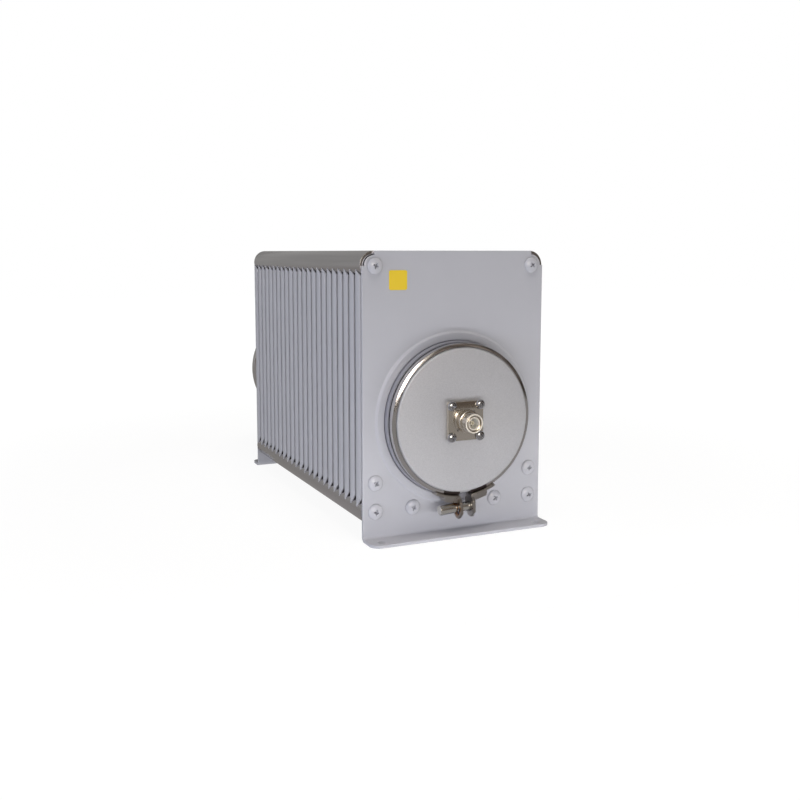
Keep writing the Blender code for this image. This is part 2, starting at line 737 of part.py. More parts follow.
def build_rear_end():
    """The expansion diaphragm under a domed rear cover with a vent plug."""
    half = diaphragm_thickness / 2
    front = rear_joint - half
    back = rear_joint + half
    fold_in = dome_flat_radius
    fold_out = tank_bore - 2 * seat
    middle = (fold_in + fold_out) / 2
    turned("diaphragm",
           [(front, 0.0), (front, fold_in), (front - diaphragm_fold, middle), (front, fold_out),
            (front, rim_radius), (back, rim_radius), (back, fold_out), (back - diaphragm_fold, middle),
            (back, fold_in), (back, 0.0)],
           black_rubber, large_turn)
    rim = back + seat
    turned("rear_cover",
           [(dome_back, plug_bore_radius), (dome_back, dome_flat_radius),
            (rim + dome_wall, neck_radius - rim_taper), (rim + rim_width, rim_radius - 2 * rim_taper),
            (rim + rim_width, rim_radius), (rim, rim_radius), (rim, fold_out),
            (dome_back - dome_wall, dome_flat_radius), (dome_back - dome_wall, plug_bore_radius)],
           dark_paint, large_turn)
    shank = plug_bore_radius - seat
    head = dome_back + seat
    plug = turned("vent_plug",
                  [(head + plug_head_height, 0.0), (head + plug_head_height, plug_hex_radius),
                   (head, plug_hex_radius), (head, shank), (dome_back - 2 * dome_wall, shank),
                   (dome_back - 2 * dome_wall, 0.0)], nickel, hexagon_turn)
    plug.rotation_euler.y = math.pi / 6


build_plates()
build_bars()
build_fins()
build_tank()
build_front_cover()
clamp("front_clamp", front_joint, seat)
clamp("rear_clamp", rear_joint, diaphragm_thickness + 2 * seat)
build_jack()
build_resistor()
build_rear_end()
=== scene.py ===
# %% [markdown]
# # A finned coaxial load resistor
#
# The object turns radio power into heat. A round tank full of oil lies through a row of bent sheet-metal
# fins, two footed end plates carry it, and a flat cover with a coaxial jack is clamped to its front.
#
# Every cell makes one piece or one finish. The construction model is loaded first and never moved. It gives
# the sizes, and the pieces made here are its fine surfaces.

# %% Load the construction model
import math

import bmesh
import bpy
import numpy as np
from mathutils import Matrix, Vector


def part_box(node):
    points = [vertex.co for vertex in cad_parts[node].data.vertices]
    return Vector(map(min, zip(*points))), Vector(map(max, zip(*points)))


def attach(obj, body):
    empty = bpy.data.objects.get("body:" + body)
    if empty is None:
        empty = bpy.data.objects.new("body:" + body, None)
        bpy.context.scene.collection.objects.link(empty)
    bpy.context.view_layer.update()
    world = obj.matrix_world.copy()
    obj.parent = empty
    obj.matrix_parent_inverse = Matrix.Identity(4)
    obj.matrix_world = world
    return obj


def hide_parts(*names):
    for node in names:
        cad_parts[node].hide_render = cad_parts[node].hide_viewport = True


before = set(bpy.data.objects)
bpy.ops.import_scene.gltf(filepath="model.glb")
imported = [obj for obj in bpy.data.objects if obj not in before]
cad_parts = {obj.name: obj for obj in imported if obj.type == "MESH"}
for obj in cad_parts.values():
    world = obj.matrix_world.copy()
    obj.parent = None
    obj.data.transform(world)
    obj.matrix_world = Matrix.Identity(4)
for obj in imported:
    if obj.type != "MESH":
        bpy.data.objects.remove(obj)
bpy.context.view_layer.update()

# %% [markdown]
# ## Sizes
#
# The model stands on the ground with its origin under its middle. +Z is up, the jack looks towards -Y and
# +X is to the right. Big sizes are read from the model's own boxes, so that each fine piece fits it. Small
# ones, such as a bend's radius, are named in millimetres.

MM = 0.001
# The gap that pieces which lie on each other keep, so that their faces never meet.
SEAT = 0.3 * MM

plate_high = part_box("front_end_plate")[1]
bar_low, bar_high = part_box("tie_bar_4")
top_bar_low, top_bar_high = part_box("tie_bar_2")
fin_low, fin_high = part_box("fin_01")
last_fin_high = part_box("fin_23")[1]
tank_low, tank_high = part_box("tank")
front_ring_low, front_ring_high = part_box("front_tank_ring")
rear_ring_low, rear_ring_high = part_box("rear_tank_ring")
cover_low, cover_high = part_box("front_cover")
jack_low, jack_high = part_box("jack_body")
dome_low, dome_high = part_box("rear_cover")

SHEET = 2.4 * MM
FRONT_FACE = bar_low.y - SEAT - SHEET
REAR_FACE = bar_high.y + SEAT + SHEET
PLATE_HALF = plate_high.x
PLATE_TOP = plate_high.z
BAR_RADIUS = (bar_high.x - bar_low.x) / 2
BAR_X = bar_high.x - BAR_RADIUS
BAR_LOW_Z = (bar_low.z + bar_high.z) / 2
BAR_HIGH_Z = (top_bar_low.z + top_bar_high.z) / 2
AXIS_Z = (tank_low.z + tank_high.z) / 2
FIN_COUNT = 23
FIN_PITCH = (last_fin_high.y - fin_high.y) / (FIN_COUNT - 1)
print("front face at", round(FRONT_FACE, 4), "fin pitch", round(FIN_PITCH, 4))
print("axis height", round(AXIS_Z, 4))

# %% [markdown]
# ## Camera
#
# The photograph was taken from the front left, a little above the object's top. The place and the lens come
# from fitting the plates, the fins and the round cover at once. A small shift of the frame puts the object
# where it stands in the picture.

# %% Place the camera
CAMERA_PLACE = (-0.35906, FRONT_FACE - 0.68432, 0.22953)
CAMERA_YAW = 0.41788
CAMERA_PITCH = 0.11810
CAMERA_LENS = 42.91
CAMERA_SHIFT = (0.0085, -0.0430)

camera_data = bpy.data.cameras.new("camera")
camera_data.lens = CAMERA_LENS
camera_data.shift_x, camera_data.shift_y = CAMERA_SHIFT
camera = bpy.data.objects.new("camera", camera_data)
camera.location = CAMERA_PLACE
camera.rotation_euler = (math.pi / 2 - CAMERA_PITCH, 0.0, -CAMERA_YAW)
bpy.context.scene.collection.objects.link(camera)
bpy.context.scene.camera = camera

# %% [markdown]
# ## From grids of points to pieces
#
# A turned body, a bent sheet or a thread is a function of two parameters. Each is worked out as one numpy
# array of rows and columns of points. One function then joins neighbouring points with four-sided faces, and
# one more puts the arrays into a mesh, closes the seams and lets the piece ride on the model.

# %% Join grids into a mesh
def grid_faces(rows, columns, start=0, wrap_rows=False, wrap_columns=False):
    """Four-sided faces between neighbours of a grid whose points are numbered row by row."""
    index = start + np.arange(rows * columns).reshape(rows, columns)
    if wrap_rows:
        index = np.vstack([index, index[:1]])
    if wrap_columns:
        index = np.hstack([index, index[:, :1]])
    corners = (index[:-1, :-1], index[:-1, 1:], index[1:, 1:], index[1:, :-1])
    return np.stack(corners, axis=-1).reshape(-1, 4)


def mesh_from_grids(name, grids, closed=True):
    """One mesh from several (points, wrap_rows, wrap_columns) grids. Points that meet are merged.

    A closed body has its open ends capped and its normals turned outwards. An open sheet keeps the
    order of its grids, in which the side that shows is the one where columns turn into rows.
    """
    start = 0
    points = []
    faces = []
    for grid, wrap_rows, wrap_columns in grids:
        rows, columns = grid.shape[:2]
        points.append(grid.reshape(-1, 3))
        faces.append(grid_faces(rows, columns, start, wrap_rows, wrap_columns))
        start += rows * columns
    vertices = np.concatenate(points)
    quads = np.concatenate(faces)
    mesh = bpy.data.meshes.new(name)
    mesh.vertices.add(len(vertices))
    mesh.vertices.foreach_set("co", vertices.ravel())
    mesh.loops.add(4 * len(quads))
    mesh.loops.foreach_set("vertex_index", quads.ravel())
    mesh.polygons.add(len(quads))
    mesh.polygons.foreach_set("loop_start", np.arange(0, 4 * len(quads), 4))
    mesh.update(calc_edges=True)
    bm = bmesh.new()
    bm.from_mesh(mesh)
    bmesh.ops.remove_doubles(bm, verts=bm.verts, dist=0.002 * MM)
    bmesh.ops.dissolve_degenerate(bm, edges=bm.edges, dist=0.001 * MM)
    if closed:
        bmesh.ops.holes_fill(bm, edges=[edge for edge in bm.edges if edge.is_boundary], sides=0)
        bmesh.ops.recalc_face_normals(bm, faces=bm.faces)
    bm.to_mesh(mesh)
    bm.free()
    return mesh


def drill(place, radius, depth, turn=(0.0, 0.0, 0.0), sides=40):
    """A cylinder that cuts a hole. The piece it is for takes it away once it has cut."""
    bpy.ops.mesh.primitive_cylinder_add(vertices=sides, radius=radius, depth=depth, location=place,
                                        rotation=turn)
    return bpy.context.object


def solid_piece(name, mesh, finish, slot_name, stands_for=(), edge=0.0, wall=0.0, drills=(), sharp=32.0):
    """An object on the model's body, with its wall, drilled holes and softened edges applied."""
    piece = bpy.data.objects.new(name, mesh)
    bpy.context.scene.collection.objects.link(piece)
    if wall:
        thickness = piece.modifiers.new("wall", "SOLIDIFY")
        thickness.thickness = wall
        thickness.offset = -1.0
        thickness.use_even_offset = True
    for cutter in drills:
        cut = piece.modifiers.new("drill", "BOOLEAN")
        cut.operation = "DIFFERENCE"
        cut.object = cutter
    if edge:
        softened_edge = piece.modifiers.new("edge", "BEVEL")
        softened_edge.width = edge
        softened_edge.segments = 2
        softened_edge.limit_method = "ANGLE"
        softened_edge.angle_limit = math.radians(50.0)
        softened_edge.harden_normals = False
    if piece.modifiers:
        evaluated = piece.evaluated_get(bpy.context.evaluated_depsgraph_get())
        piece.data = bpy.data.meshes.new_from_object(evaluated)
        piece.modifiers.clear()
    for cutter in drills:
        bpy.data.objects.remove(cutter)
    piece.data.shade_smooth()
    piece.data.set_sharp_from_angle(angle=math.radians(sharp))
    piece.data.materials.clear()
    piece.data.materials.append(finish)
    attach(piece, "root")
    for node_name in stands_for:
        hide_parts(node_name)
    return piece


# %% [markdown]
# ## Turned bodies
#
# Most round pieces are turned: a profile of (place along the axis, radius) goes round the axis. Real turned
# edges are broken, so each corner of the profile is first replaced by a small curve, which is what catches
# the light as a thin bright line.

# %% Turn a profile
def softened(corners, cut, steps=3):
    """Replaces each corner by a quadratic curve that starts `cut` before it and ends `cut` after it."""
    corners = np.asarray(corners, float)
    cut = np.broadcast_to(np.asarray(cut, float), len(corners))[:, None]
    before = np.roll(corners, 1, axis=0) - corners
    after = np.roll(corners, -1, axis=0) - corners
    length_before = np.linalg.norm(before, axis=1, keepdims=True)
    length_after = np.linalg.norm(after, axis=1, keepdims=True)
    start = before / length_before * np.minimum(cut, 0.45 * length_before)
    end = after / length_after * np.minimum(cut, 0.45 * length_after)
    s = np.linspace(0.0, 1.0, steps + 1)[:, None]
    curve = corners[:, None] + (1 - s) ** 2 * start[:, None] + s ** 2 * end[:, None]
    return curve.reshape(-1, 2)


Y_AXIS = ((0.0, 1.0, 0.0), (1.0, 0.0, 0.0), (0.0, 0.0, 1.0))
X_AXIS = ((1.0, 0.0, 0.0), (0.0, -1.0, 0.0), (0.0, 0.0, 1.0))


def turned(profile, centre=(0.0, 0.0, AXIS_Z), sides=96, axis=Y_AXIS):
    """Each profile point (s, r) becomes a ring: centre + s along the axis + r (across cos a + up sin a)."""
    along, across, up = np.array(axis)
    angle = np.linspace(0.0, 2 * np.pi, sides, endpoint=False)
    ring = np.cos(angle)[:, None] * across + np.sin(angle)[:, None] * up
    profile = np.asarray(profile, float)
    return np.array(centre) + profile[:, 0, None, None] * along + profile[:, 1, None, None] * ring


def turned_piece(name, profile, finish, slot_name, stands_for=(), cut=0.0, closed_profile=True, **where):
    """A turned body. An open profile starts and ends on the axis."""
    if cut:
        profile = softened(profile, cut)
    points = turned(profile, **where)
    mesh = mesh_from_grids(name, [(points, closed_profile, True)])
    return solid_piece(name, mesh, finish, slot_name, stands_for)


# %% [markdown]
# ## Finishes
#
# Each finish is a Principled material. Colours are written as the hex values that a paint chart would give
# and turned to the linear values that Blender computes with. Patterns are in object coordinates, so they are
# as large as on the real metal, whatever piece they are on.

# %% Helpers for finishes
def hex_colour(code):
    """The linear colour of an sRGB hex value: each channel c becomes ((c + 0.055) / 1.055) ** 2.4."""
    channels = np.array([int(code[i:i + 2], 16) for i in (1, 3, 5)]) / 255.0
    linear = np.where(channels > 0.04045, ((channels + 0.055) / 1.055) ** 2.4, channels / 12.92)
    return (*linear, 1.0)


def add_node(tree, kind, links=None, inputs=None, **settings):
    """Adds one node, with its settings, its input values and its links from other nodes' sockets."""
    made = tree.nodes.new(kind)
    for setting, value in settings.items():
        setattr(made, setting, value)
    for socket, value in (inputs or {}).items():
        made.inputs[socket].default_value = value
    for socket, source in (links or {}).items():
        tree.links.new(source, made.inputs[socket])
    return made


def new_finish(name, **values):
    """A material and its Principled shader, with the values that are the same all over the surface."""
    finish = bpy.data.materials.new(name)
    finish.use_nodes = True
    shader = finish.node_tree.nodes["Principled BSDF"]
    for socket, value in values.items():
        shader.inputs[socket.replace("_", " ").title().replace("Ior", "IOR")].default_value = value
    place = add_node(finish.node_tree, "ShaderNodeTexCoord").outputs["Object"]
    return finish, finish.node_tree, shader, place


def join(tree, source, target_node, socket):
    """Links a socket to an input of a node that exists already."""
    tree.links.new(source, target_node.inputs[socket])


# %% [markdown]
# ### Powder coat and enamel on sheet steel
#
# The plates and fins are coated in a light grey polyester powder and baked. The powder melts into a satin
# film with a fine orange peel, which to the eye is an even grey with a soft, slightly clouded sheen. The
# peel is drawn a little coarser than the real one, 1.6 mm from bump to bump, so that it shows at this
# distance.
#
# The tank's enamel is glossier than the plate's, and darker as painted shade, because its collar's side gets
# little light. The screws' heads are a little lighter than the plate, and the rear cover is dark and nearly
# matt.

# %% Make the powder coat
PEEL_WIDTH = 1.6 * MM
CLOUD_WIDTH = 40 * MM


def powder_coat(name, colour, darker, roughness):
    """A satin coat: slow clouds move its colour and gloss a little, and a fine noise dents it."""
    finish, tree, shader, place = new_finish(name, roughness=roughness)
    cloud = add_node(tree, "ShaderNodeTexNoise", {"Vector": place},
                     {"Scale": 1 / CLOUD_WIDTH, "Detail": 3.0, "Roughness": 0.6})
    tint = add_node(tree, "ShaderNodeMix", {"Factor": cloud.outputs["Fac"]}, data_type="RGBA")
    tint.inputs["A"].default_value = hex_colour(darker)
    tint.inputs["B"].default_value = hex_colour(colour)
    join(tree, tint.outputs["Result"], shader, "Base Color")
    gloss = add_node(tree, "ShaderNodeMapRange", {"Value": cloud.outputs["Fac"]},
                     {"To Min": 0.8 * roughness, "To Max": 1.2 * roughness})
    join(tree, gloss.outputs["Result"], shader, "Roughness")
    peel = add_node(tree, "ShaderNodeTexNoise", {"Vector": place},
                    {"Scale": 1 / PEEL_WIDTH, "Detail": 2.0, "Roughness": 0.5})
    dent = add_node(tree, "ShaderNodeBump", {"Height": peel.outputs["Fac"]},
                    {"Strength": 0.12, "Distance": 0.05 * MM})
    join(tree, dent.outputs["Normal"], shader, "Normal")
    return finish


grey_coat = powder_coat("grey_powder_coat", "#b8b8be", "#b4b4ba", 0.24)
# Painted shade: the tank's enamel is coloured darker than the plate's for its collar's side, which gets
# little light.
shaded_tank_coat = powder_coat("tank_enamel_painted_shade", "#92929a", "#8e8e96", 0.20)
screw_coat = powder_coat("screw_enamel", "#bcbcc2", "#b8b8be", 0.18)
dark_coat = powder_coat("dark_powder_coat", "#4a4846", "#403e3c", 0.40)
print("powder coat with bumps", PEEL_WIDTH / MM, "mm apart")

# %% [markdown]
# ### Faced aluminium
#
# The cover is faced on a lathe and then rubbed down with fine grit, which leaves a dull silver that hardly
# changes across the disc. The tool's rings round the axis stay as a faint trace, and the grit leaves a grain
# about 0.8 mm wide, drawn a little coarser than the real one so that it shows. The rubbed face scatters about
# half of its light as a dull surface does, so it is only half metallic and stays pale whatever it mirrors.
#
# A noise that only reads the distance from the axis draws the rings, and a noise in space draws the grain.

# %% Make the faced aluminium
RING_WIDTH = 0.5 * MM
GRIT_WIDTH = 0.8 * MM
RUBBED_METAL = 0.5
GLOSS_SPREAD = 0.08


def faced_metal(name, colour, darker, roughness, centre, strength):
    """Metal with grain and rings: r = sqrt(x^2 + z^2) is fed to a one-dimensional noise."""
    finish, tree, shader, place = new_finish(name, metallic=RUBBED_METAL, roughness=roughness)
    grit = add_node(tree, "ShaderNodeTexNoise", {"Vector": place},
                    {"Scale": 1 / GRIT_WIDTH, "Detail": 4.0, "Roughness": 0.75})
    tint = add_node(tree, "ShaderNodeMix", {"Factor": grit.outputs["Fac"]}, data_type="RGBA")
    tint.inputs["A"].default_value = hex_colour(darker)
    tint.inputs["B"].default_value = hex_colour(colour)
    join(tree, tint.outputs["Result"], shader, "Base Color")
    centred = add_node(tree, "ShaderNodeMapping", {"Vector": place}, {"Location": (0.0, 0.0, -centre)})
    axes = add_node(tree, "ShaderNodeSeparateXYZ", {"Vector": centred.outputs["Vector"]})
    flat = add_node(tree, "ShaderNodeCombineXYZ", {"X": axes.outputs["X"], "Y": axes.outputs["Z"]})
    distance = add_node(tree, "ShaderNodeVectorMath", {"Vector": flat.outputs["Vector"]}, operation="LENGTH")
    rings = add_node(tree, "ShaderNodeTexNoise", {"W": distance.outputs["Value"]},
                     {"Scale": 1 / RING_WIDTH, "Detail": 3.0, "Roughness": 0.7}, noise_dimensions="1D")
    groove = add_node(tree, "ShaderNodeBump", {"Height": rings.outputs["Fac"]},
                      {"Strength": 0.3 * strength, "Distance": 0.03 * MM})
    grain = add_node(tree, "ShaderNodeBump",
                     {"Height": grit.outputs["Fac"], "Normal": groove.outputs["Normal"]},
                     {"Strength": strength, "Distance": 0.05 * MM})
    join(tree, grain.outputs["Normal"], shader, "Normal")
    gloss = add_node(tree, "ShaderNodeMapRange", {"Value": grit.outputs["Fac"]},
                     {"To Min": roughness - GLOSS_SPREAD, "To Max": roughness + GLOSS_SPREAD})
    join(tree, gloss.outputs["Result"], shader, "Roughness")
    return finish


cover_metal = faced_metal("faced_aluminium", "#d8d8db", "#acacb0", 0.42, AXIS_Z, 0.9)
print("faced aluminium with grit", GRIT_WIDTH / MM, "mm wide")

# %% [markdown]
# ### Bright metals
#
# The clamps are polished stainless steel, the jack is nickel-plated brass and its screws are zinc-plated.
# Each is a plain mirror to the eye, broken up by faint rubbing marks that only move its gloss. The tie bars
# are sprayed with a silver lacquer, whose aluminium flakes make a calmer mirror. The edges of the jack's
# mouth are a paler, half-dull nickel that stays pale from every side: a painted highlight. What lies deep in
# the jack scatters about half of its light, so it is partly dull.
#
# The straps are welded, and the heat has left its tints on them: straw, then brown, then blue, where the
# steel was hottest round the bolt. A ramp over the distance from the bolt's axis draws them, with a noise
# that makes their borders uneven.

# %% Make the bright metals
RUB_WIDTH = 3 * MM


def bright_metal(name, colour, roughness, metallic=1.0):
    """A polished metal whose gloss wanders with a slow noise."""
    finish, tree, shader, place = new_finish(name, metallic=metallic, roughness=roughness)
    shader.inputs["Base Color"].default_value = hex_colour(colour)
    rub = add_node(tree, "ShaderNodeTexNoise", {"Vector": place},
                   {"Scale": 1 / RUB_WIDTH, "Detail": 4.0, "Roughness": 0.65})
    gloss = add_node(tree, "ShaderNodeMapRange", {"Value": rub.outputs["Fac"]},
                     {"To Min": roughness * 0.7, "To Max": roughness * 1.3})
    join(tree, gloss.outputs["Result"], shader, "Roughness")
    return finish


WELD_TINTS = ((0.0, "#38425e"), (0.12, "#4a3636"), (0.24, "#a8743f"), (0.36, "#a0948a"), (1.0, "#b2aeaa"))
TINT_WANDER = 0.35


def heat_tinted(name, centre, hottest, reach):
    """Steel with weld tints: a colour ramp over |place - centre| / reach, moved by a noise."""
    finish, tree, shader, place = new_finish(name, metallic=1.0, roughness=0.30)
    apart = add_node(tree, "ShaderNodeVectorMath", {0: place}, {1: centre}, operation="DISTANCE")
    wander = add_node(tree, "ShaderNodeTexNoise", {"Vector": place}, {"Scale": 1 / RUB_WIDTH, "Detail": 3.0})
    shift = add_node(tree, "ShaderNodeMapRange", {"Value": wander.outputs["Fac"]},
                     {"To Min": -TINT_WANDER * reach, "To Max": TINT_WANDER * reach})
    moved = add_node(tree, "ShaderNodeMath", {0: apart.outputs["Value"], 1: shift.outputs["Result"]},
                     operation="ADD")
    share = add_node(tree, "ShaderNodeMapRange", {"Value": moved.outputs[0]},
                     {"From Min": hottest, "From Max": reach})
    ramp = add_node(tree, "ShaderNodeValToRGB", {"Fac": share.outputs["Result"]})
    for position, colour in WELD_TINTS[1:-1]:
        ramp.color_ramp.elements.new(position)
    for element, (position, colour) in zip(ramp.color_ramp.elements, WELD_TINTS):
        element.position = position
        element.color = hex_colour(colour)
    join(tree, ramp.outputs["Color"], shader, "Base Color")
    gloss = add_node(tree, "ShaderNodeMapRange", {"Value": wander.outputs["Fac"]},
                     {"To Min": 0.22, "To Max": 0.38})
    join(tree, gloss.outputs["Result"], shader, "Roughness")
    return finish


# Buffed sheet: sharp, slightly grey streaks of the room along the band.
clamp_steel = bright_metal("polished_stainless", "#d8d6d6", 0.13)
# Painted shade for the band's ends next to the opening: dark brown and nearly without reflections.
shaded_end_steel = bright_metal("stainless_painted_shade", "#5a5250", 0.35)
# Ground round bar: one broad white streak along it.
rod_steel = bright_metal("ground_steel_rod", "#e4e2dc", 0.16)
# Nickel is a little yellow, so white reflections look like cream.
jack_nickel = bright_metal("nickel_plate", "#e0d9ce", 0.17)
# Painted highlight for the mouth's edges: a paler nickel, pale from every side.
lip_highlight_nickel = bright_metal("nickel_edge_painted_highlight", "#efe8dc", 0.40, metallic=0.5)
# Clear-passivated zinc: cold, with small sharp spots.
screw_steel = bright_metal("zinc_plated_screw", "#c4c4c8", 0.12)
# Flakes in clear lacquer: a smooth grey that only slowly gets lighter and darker.
bar_lacquer = bright_metal("silver_lacquer", "#d2d0d2", 0.18)
# A thin layer of gold and one of silver, both matt from use.
contact_gold = bright_metal("gold_plate", "#f4ecd8", 0.35, metallic=0.45)
bore_silver = bright_metal("silver_plate", "#f4f4f2", 0.40, metallic=0.45)
print("bright metals with rubbing marks", RUB_WIDTH / MM, "mm apart")

# %% [markdown]
# ### Hidden and small materials
#
# White fluoropolymer holds the jack's contact, a black rubber cord and diaphragm seal the tank, and the
# resistor is a film on a ceramic rod. Each has the fine grain of how it was made.

# %% Make the plain materials
def grained(name, colour, roughness, grain_width, depth):
    """A non-metal with a fine moulded or fired grain."""
    finish, tree, shader, place = new_finish(name, roughness=roughness)
    shader.inputs["Base Color"].default_value = hex_colour(colour)
    grain = add_node(tree, "ShaderNodeTexNoise", {"Vector": place}, {"Scale": 1 / grain_width, "Detail": 2.0})
    bump = add_node(tree, "ShaderNodeBump", {"Height": grain.outputs["Fac"]},
                    {"Strength": 0.3, "Distance": depth})
    join(tree, bump.outputs["Normal"], shader, "Normal")
    return finish


white_insulator = grained("fluoropolymer", "#f0efe9", 0.45, 0.8 * MM, 0.02 * MM)
seal_rubber = grained("black_rubber", "#1c1c1c", 0.65, 1.0 * MM, 0.05 * MM)
resistor_film = grained("film_on_ceramic", "#6e6258", 0.50, 0.6 * MM, 0.03 * MM)

hidden_finishes = {"load_resistor": resistor_film, "resistor_housing": cover_metal,
                   "cover_gasket": seal_rubber, "diaphragm": seal_rubber, "jack_insulator": white_insulator}
for node_name, finish in hidden_finishes.items():
    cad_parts[node_name].data.materials.clear()
    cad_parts[node_name].data.materials.append(finish)
print(len(hidden_finishes), "pieces of the construction model keep their form")

# %% [markdown]
# ## Sheets with a round hole
#
# An end plate and a fin are both a flat sheet with a large round hole. The sheet is a grid of rays: one
# column for each point of the outline, and one row for each step from the outline to the hole. Rows between
# them can be lifted out of the plane, which draws the raised ring that is pressed round the plate's hole.

# %% Lay rays from an outline to a hole
EDGE_BAND = 1.0 * MM


def side_points(start, end, spacing):
    """Points along a straight side, without its last one."""
    start, end = np.array(start), np.array(end)
    count = max(1, math.ceil(np.linalg.norm(end - start) / spacing))
    return start + (end - start) * (np.arange(count) / count)[:, None]


def arc_points(centre, radius, start, end, count):
    """Points on an arc from one angle to another, both in degrees, with both ends."""
    angle = np.radians(np.linspace(start, end, count))
    return np.array(centre) + radius * np.stack([np.cos(angle), np.sin(angle)], axis=1)


def ring_sheet(outline, rings):
    """Rows of points: the outline at y = 0 first, then a circle of each (radius, y), along the same rays.

    One row lies just inside the outline, so that the soft edge doesn't tilt the shading of the flat sheet.
    """
    ray = outline - np.array([0.0, AXIS_Z])
    ray /= np.linalg.norm(ray, axis=1, keepdims=True)
    rows = [np.stack([edge[:, 0], np.zeros(len(edge)), edge[:, 1]], axis=1)
            for edge in (outline, outline - EDGE_BAND * ray)]
    for radius, y in rings:
        rows.append(np.stack([radius * ray[:, 0], np.full(len(ray), y), AXIS_Z + radius * ray[:, 1]], axis=1))
    return np.stack(rows)


# %% [markdown]
# ## End plates
#
# Each end plate is 2.4 mm steel sheet. Its upper corners are cut round and a little small, so that the ends
# of the tie bars show beside them. A ring is pressed outwards round the tank's hole, and the foot is bent
# out at the bottom, with rounded corners and one hole at each end.
#
# The panel is a sheet of rays. The bend and the foot are a second grid that shares the panel's bottom row
# of points, so the two merge. The rear plate is the front one turned by half a turn.

# %% Make the end plates
CORNER_CUT = 8.5 * MM
BEND_RADIUS = 2.0 * MM
FOOT_LENGTH = 21.0 * MM
FOOT_CORNER = 8.0 * MM
FOOT_HOLE_X = 70.9 * MM
FOOT_HOLE_Y = 12.8 * MM
FOOT_HOLE_RADIUS = 3.3 * MM
HOLE_RADIUS = 63.8 * MM
RING_FOOT = 71.5 * MM
RING_LAND = 69.0 * MM
RING_HEIGHT = 1.4 * MM
PLATE_SPACING = 3.0 * MM


def bottom_edge():
    """Places across the plate, closer together where the foot's corners are round."""
    turn = np.linspace(0.0, np.pi / 2, 9)
    corner = PLATE_HALF - FOOT_CORNER + FOOT_CORNER * np.sin(turn)
    middle = np.linspace(-corner[0], corner[0], 50)
    return np.concatenate([-corner[:0:-1], middle, corner[1:]])


def plate_outline():
    """The panel's outline, counter-clockwise as seen from the front, from the bottom left corner."""
    bend_z = SHEET + BEND_RADIUS
    across = bottom_edge()
    bottom = np.stack([across[:-1], np.full(len(across) - 1, bend_z)], axis=1)
    right_side = side_points((PLATE_HALF, bend_z), (PLATE_HALF, BAR_HIGH_Z), PLATE_SPACING)
    notch = side_points((PLATE_HALF, BAR_HIGH_Z), (BAR_X + CORNER_CUT, BAR_HIGH_Z), PLATE_SPACING)
    cut = arc_points((BAR_X, BAR_HIGH_Z), CORNER_CUT, 0.0, 90.0, 13)
    right = np.concatenate([right_side, notch, cut, [[BAR_X, PLATE_TOP]]])
    top = side_points((BAR_X, PLATE_TOP), (-BAR_X, PLATE_TOP), PLATE_SPACING)[1:]
    left = right[::-1] * (-1, 1)
    return np.concatenate([bottom, right, top, left[:-1]])


def foot_grid():
    """From the foot's tip, set back where its corners are round, to the bend and up to the panel."""
    across = bottom_edge()
    past = np.clip(np.abs(across) - (PLATE_HALF - FOOT_CORNER), 0.0, FOOT_CORNER)
    tip = -(FOOT_LENGTH - FOOT_CORNER + np.sqrt(FOOT_CORNER ** 2 - past ** 2))
    share = np.linspace(1.0, 0.0, 8)[:, None]
    flat_y = -BEND_RADIUS + share * (tip + BEND_RADIUS)
    flat_z = np.full_like(flat_y, SHEET)
    turn = np.linspace(0.0, np.pi / 2, 7)[1:, None]
    bend_y = -BEND_RADIUS * (1.0 - np.sin(turn)) + 0.0 * across
    bend_z = SHEET + BEND_RADIUS * (1.0 - np.cos(turn)) + 0.0 * across
    y = np.vstack([flat_y, bend_y])
    z = np.vstack([flat_z, bend_z])
    return np.stack([np.broadcast_to(across, y.shape), y, z], axis=-1)


def pressed_ring():
    """The raised ring as (radius, y): the height follows half a cosine wave between foot and land."""
    slope = [(RING_FOOT + (RING_LAND - RING_FOOT) * s, -RING_HEIGHT * (1 - math.cos(math.pi * s)) / 2)
             for s in np.linspace(0.0, 1.0, 9)]
    land = [(radius, -RING_HEIGHT)
            for radius in (RING_LAND - EDGE_BAND, HOLE_RADIUS + EDGE_BAND, HOLE_RADIUS)]
    return [(RING_FOOT + EDGE_BAND, 0.0)] + slope + land


foot_drills = [drill((side * FOOT_HOLE_X, -FOOT_HOLE_Y, SHEET / 2), FOOT_HOLE_RADIUS, 6 * SHEET)
               for side in (-1, 1)]
panel_grid = ring_sheet(plate_outline(), pressed_ring())
front_plate_mesh = mesh_from_grids("front_plate_sheet",
                                   [(panel_grid, False, True), (foot_grid(), False, False)],
                                   closed=False)
front_plate = solid_piece("front_plate_sheet", front_plate_mesh, grey_coat, "grey_paint", ["front_end_plate"],
                          edge=0.35 * MM, wall=SHEET, drills=foot_drills)
rear_plate_mesh = front_plate.data.copy()
rear_plate_mesh.transform(Matrix.Translation((0.0, REAR_FACE, 0.0)) @ Matrix.Rotation(math.pi, 4, "Z"))
front_plate.data.transform(Matrix.Translation((0.0, FRONT_FACE, 0.0)))
solid_piece("rear_plate_sheet", rear_plate_mesh, grey_coat, "grey_paint", ["rear_end_plate"])
print("end plates", len(front_plate.data.polygons), "faces each")

# %% [markdown]
# A small square of yellow film with round corners is stuck to the plate's upper left. It is plain: a generic
# label field. The film is a thin slab whose edge is drawn in on its front row, so that it catches the light.

# %% Stick on the film
LABEL_PLACE = (-51.0 * MM, 208.0 * MM)
LABEL_HALF = 7.8 * MM
LABEL_CORNER = 1.6 * MM
FILM = 0.15 * MM

label_film = grained("yellow_film", "#e6c526", 0.42, 0.6 * MM, 0.01 * MM)


def rounded_square(half, corner, steps=9):
    """A square with round corners, counter-clockwise from the right end of its upper right corner."""
    reach = half - corner
    centres = ((reach, reach), (-reach, reach), (-reach, -reach), (reach, -reach))
    return np.concatenate([arc_points(centre, corner, 90.0 * turn, 90.0 * (turn + 1), steps)
                           for turn, centre in enumerate(centres)])


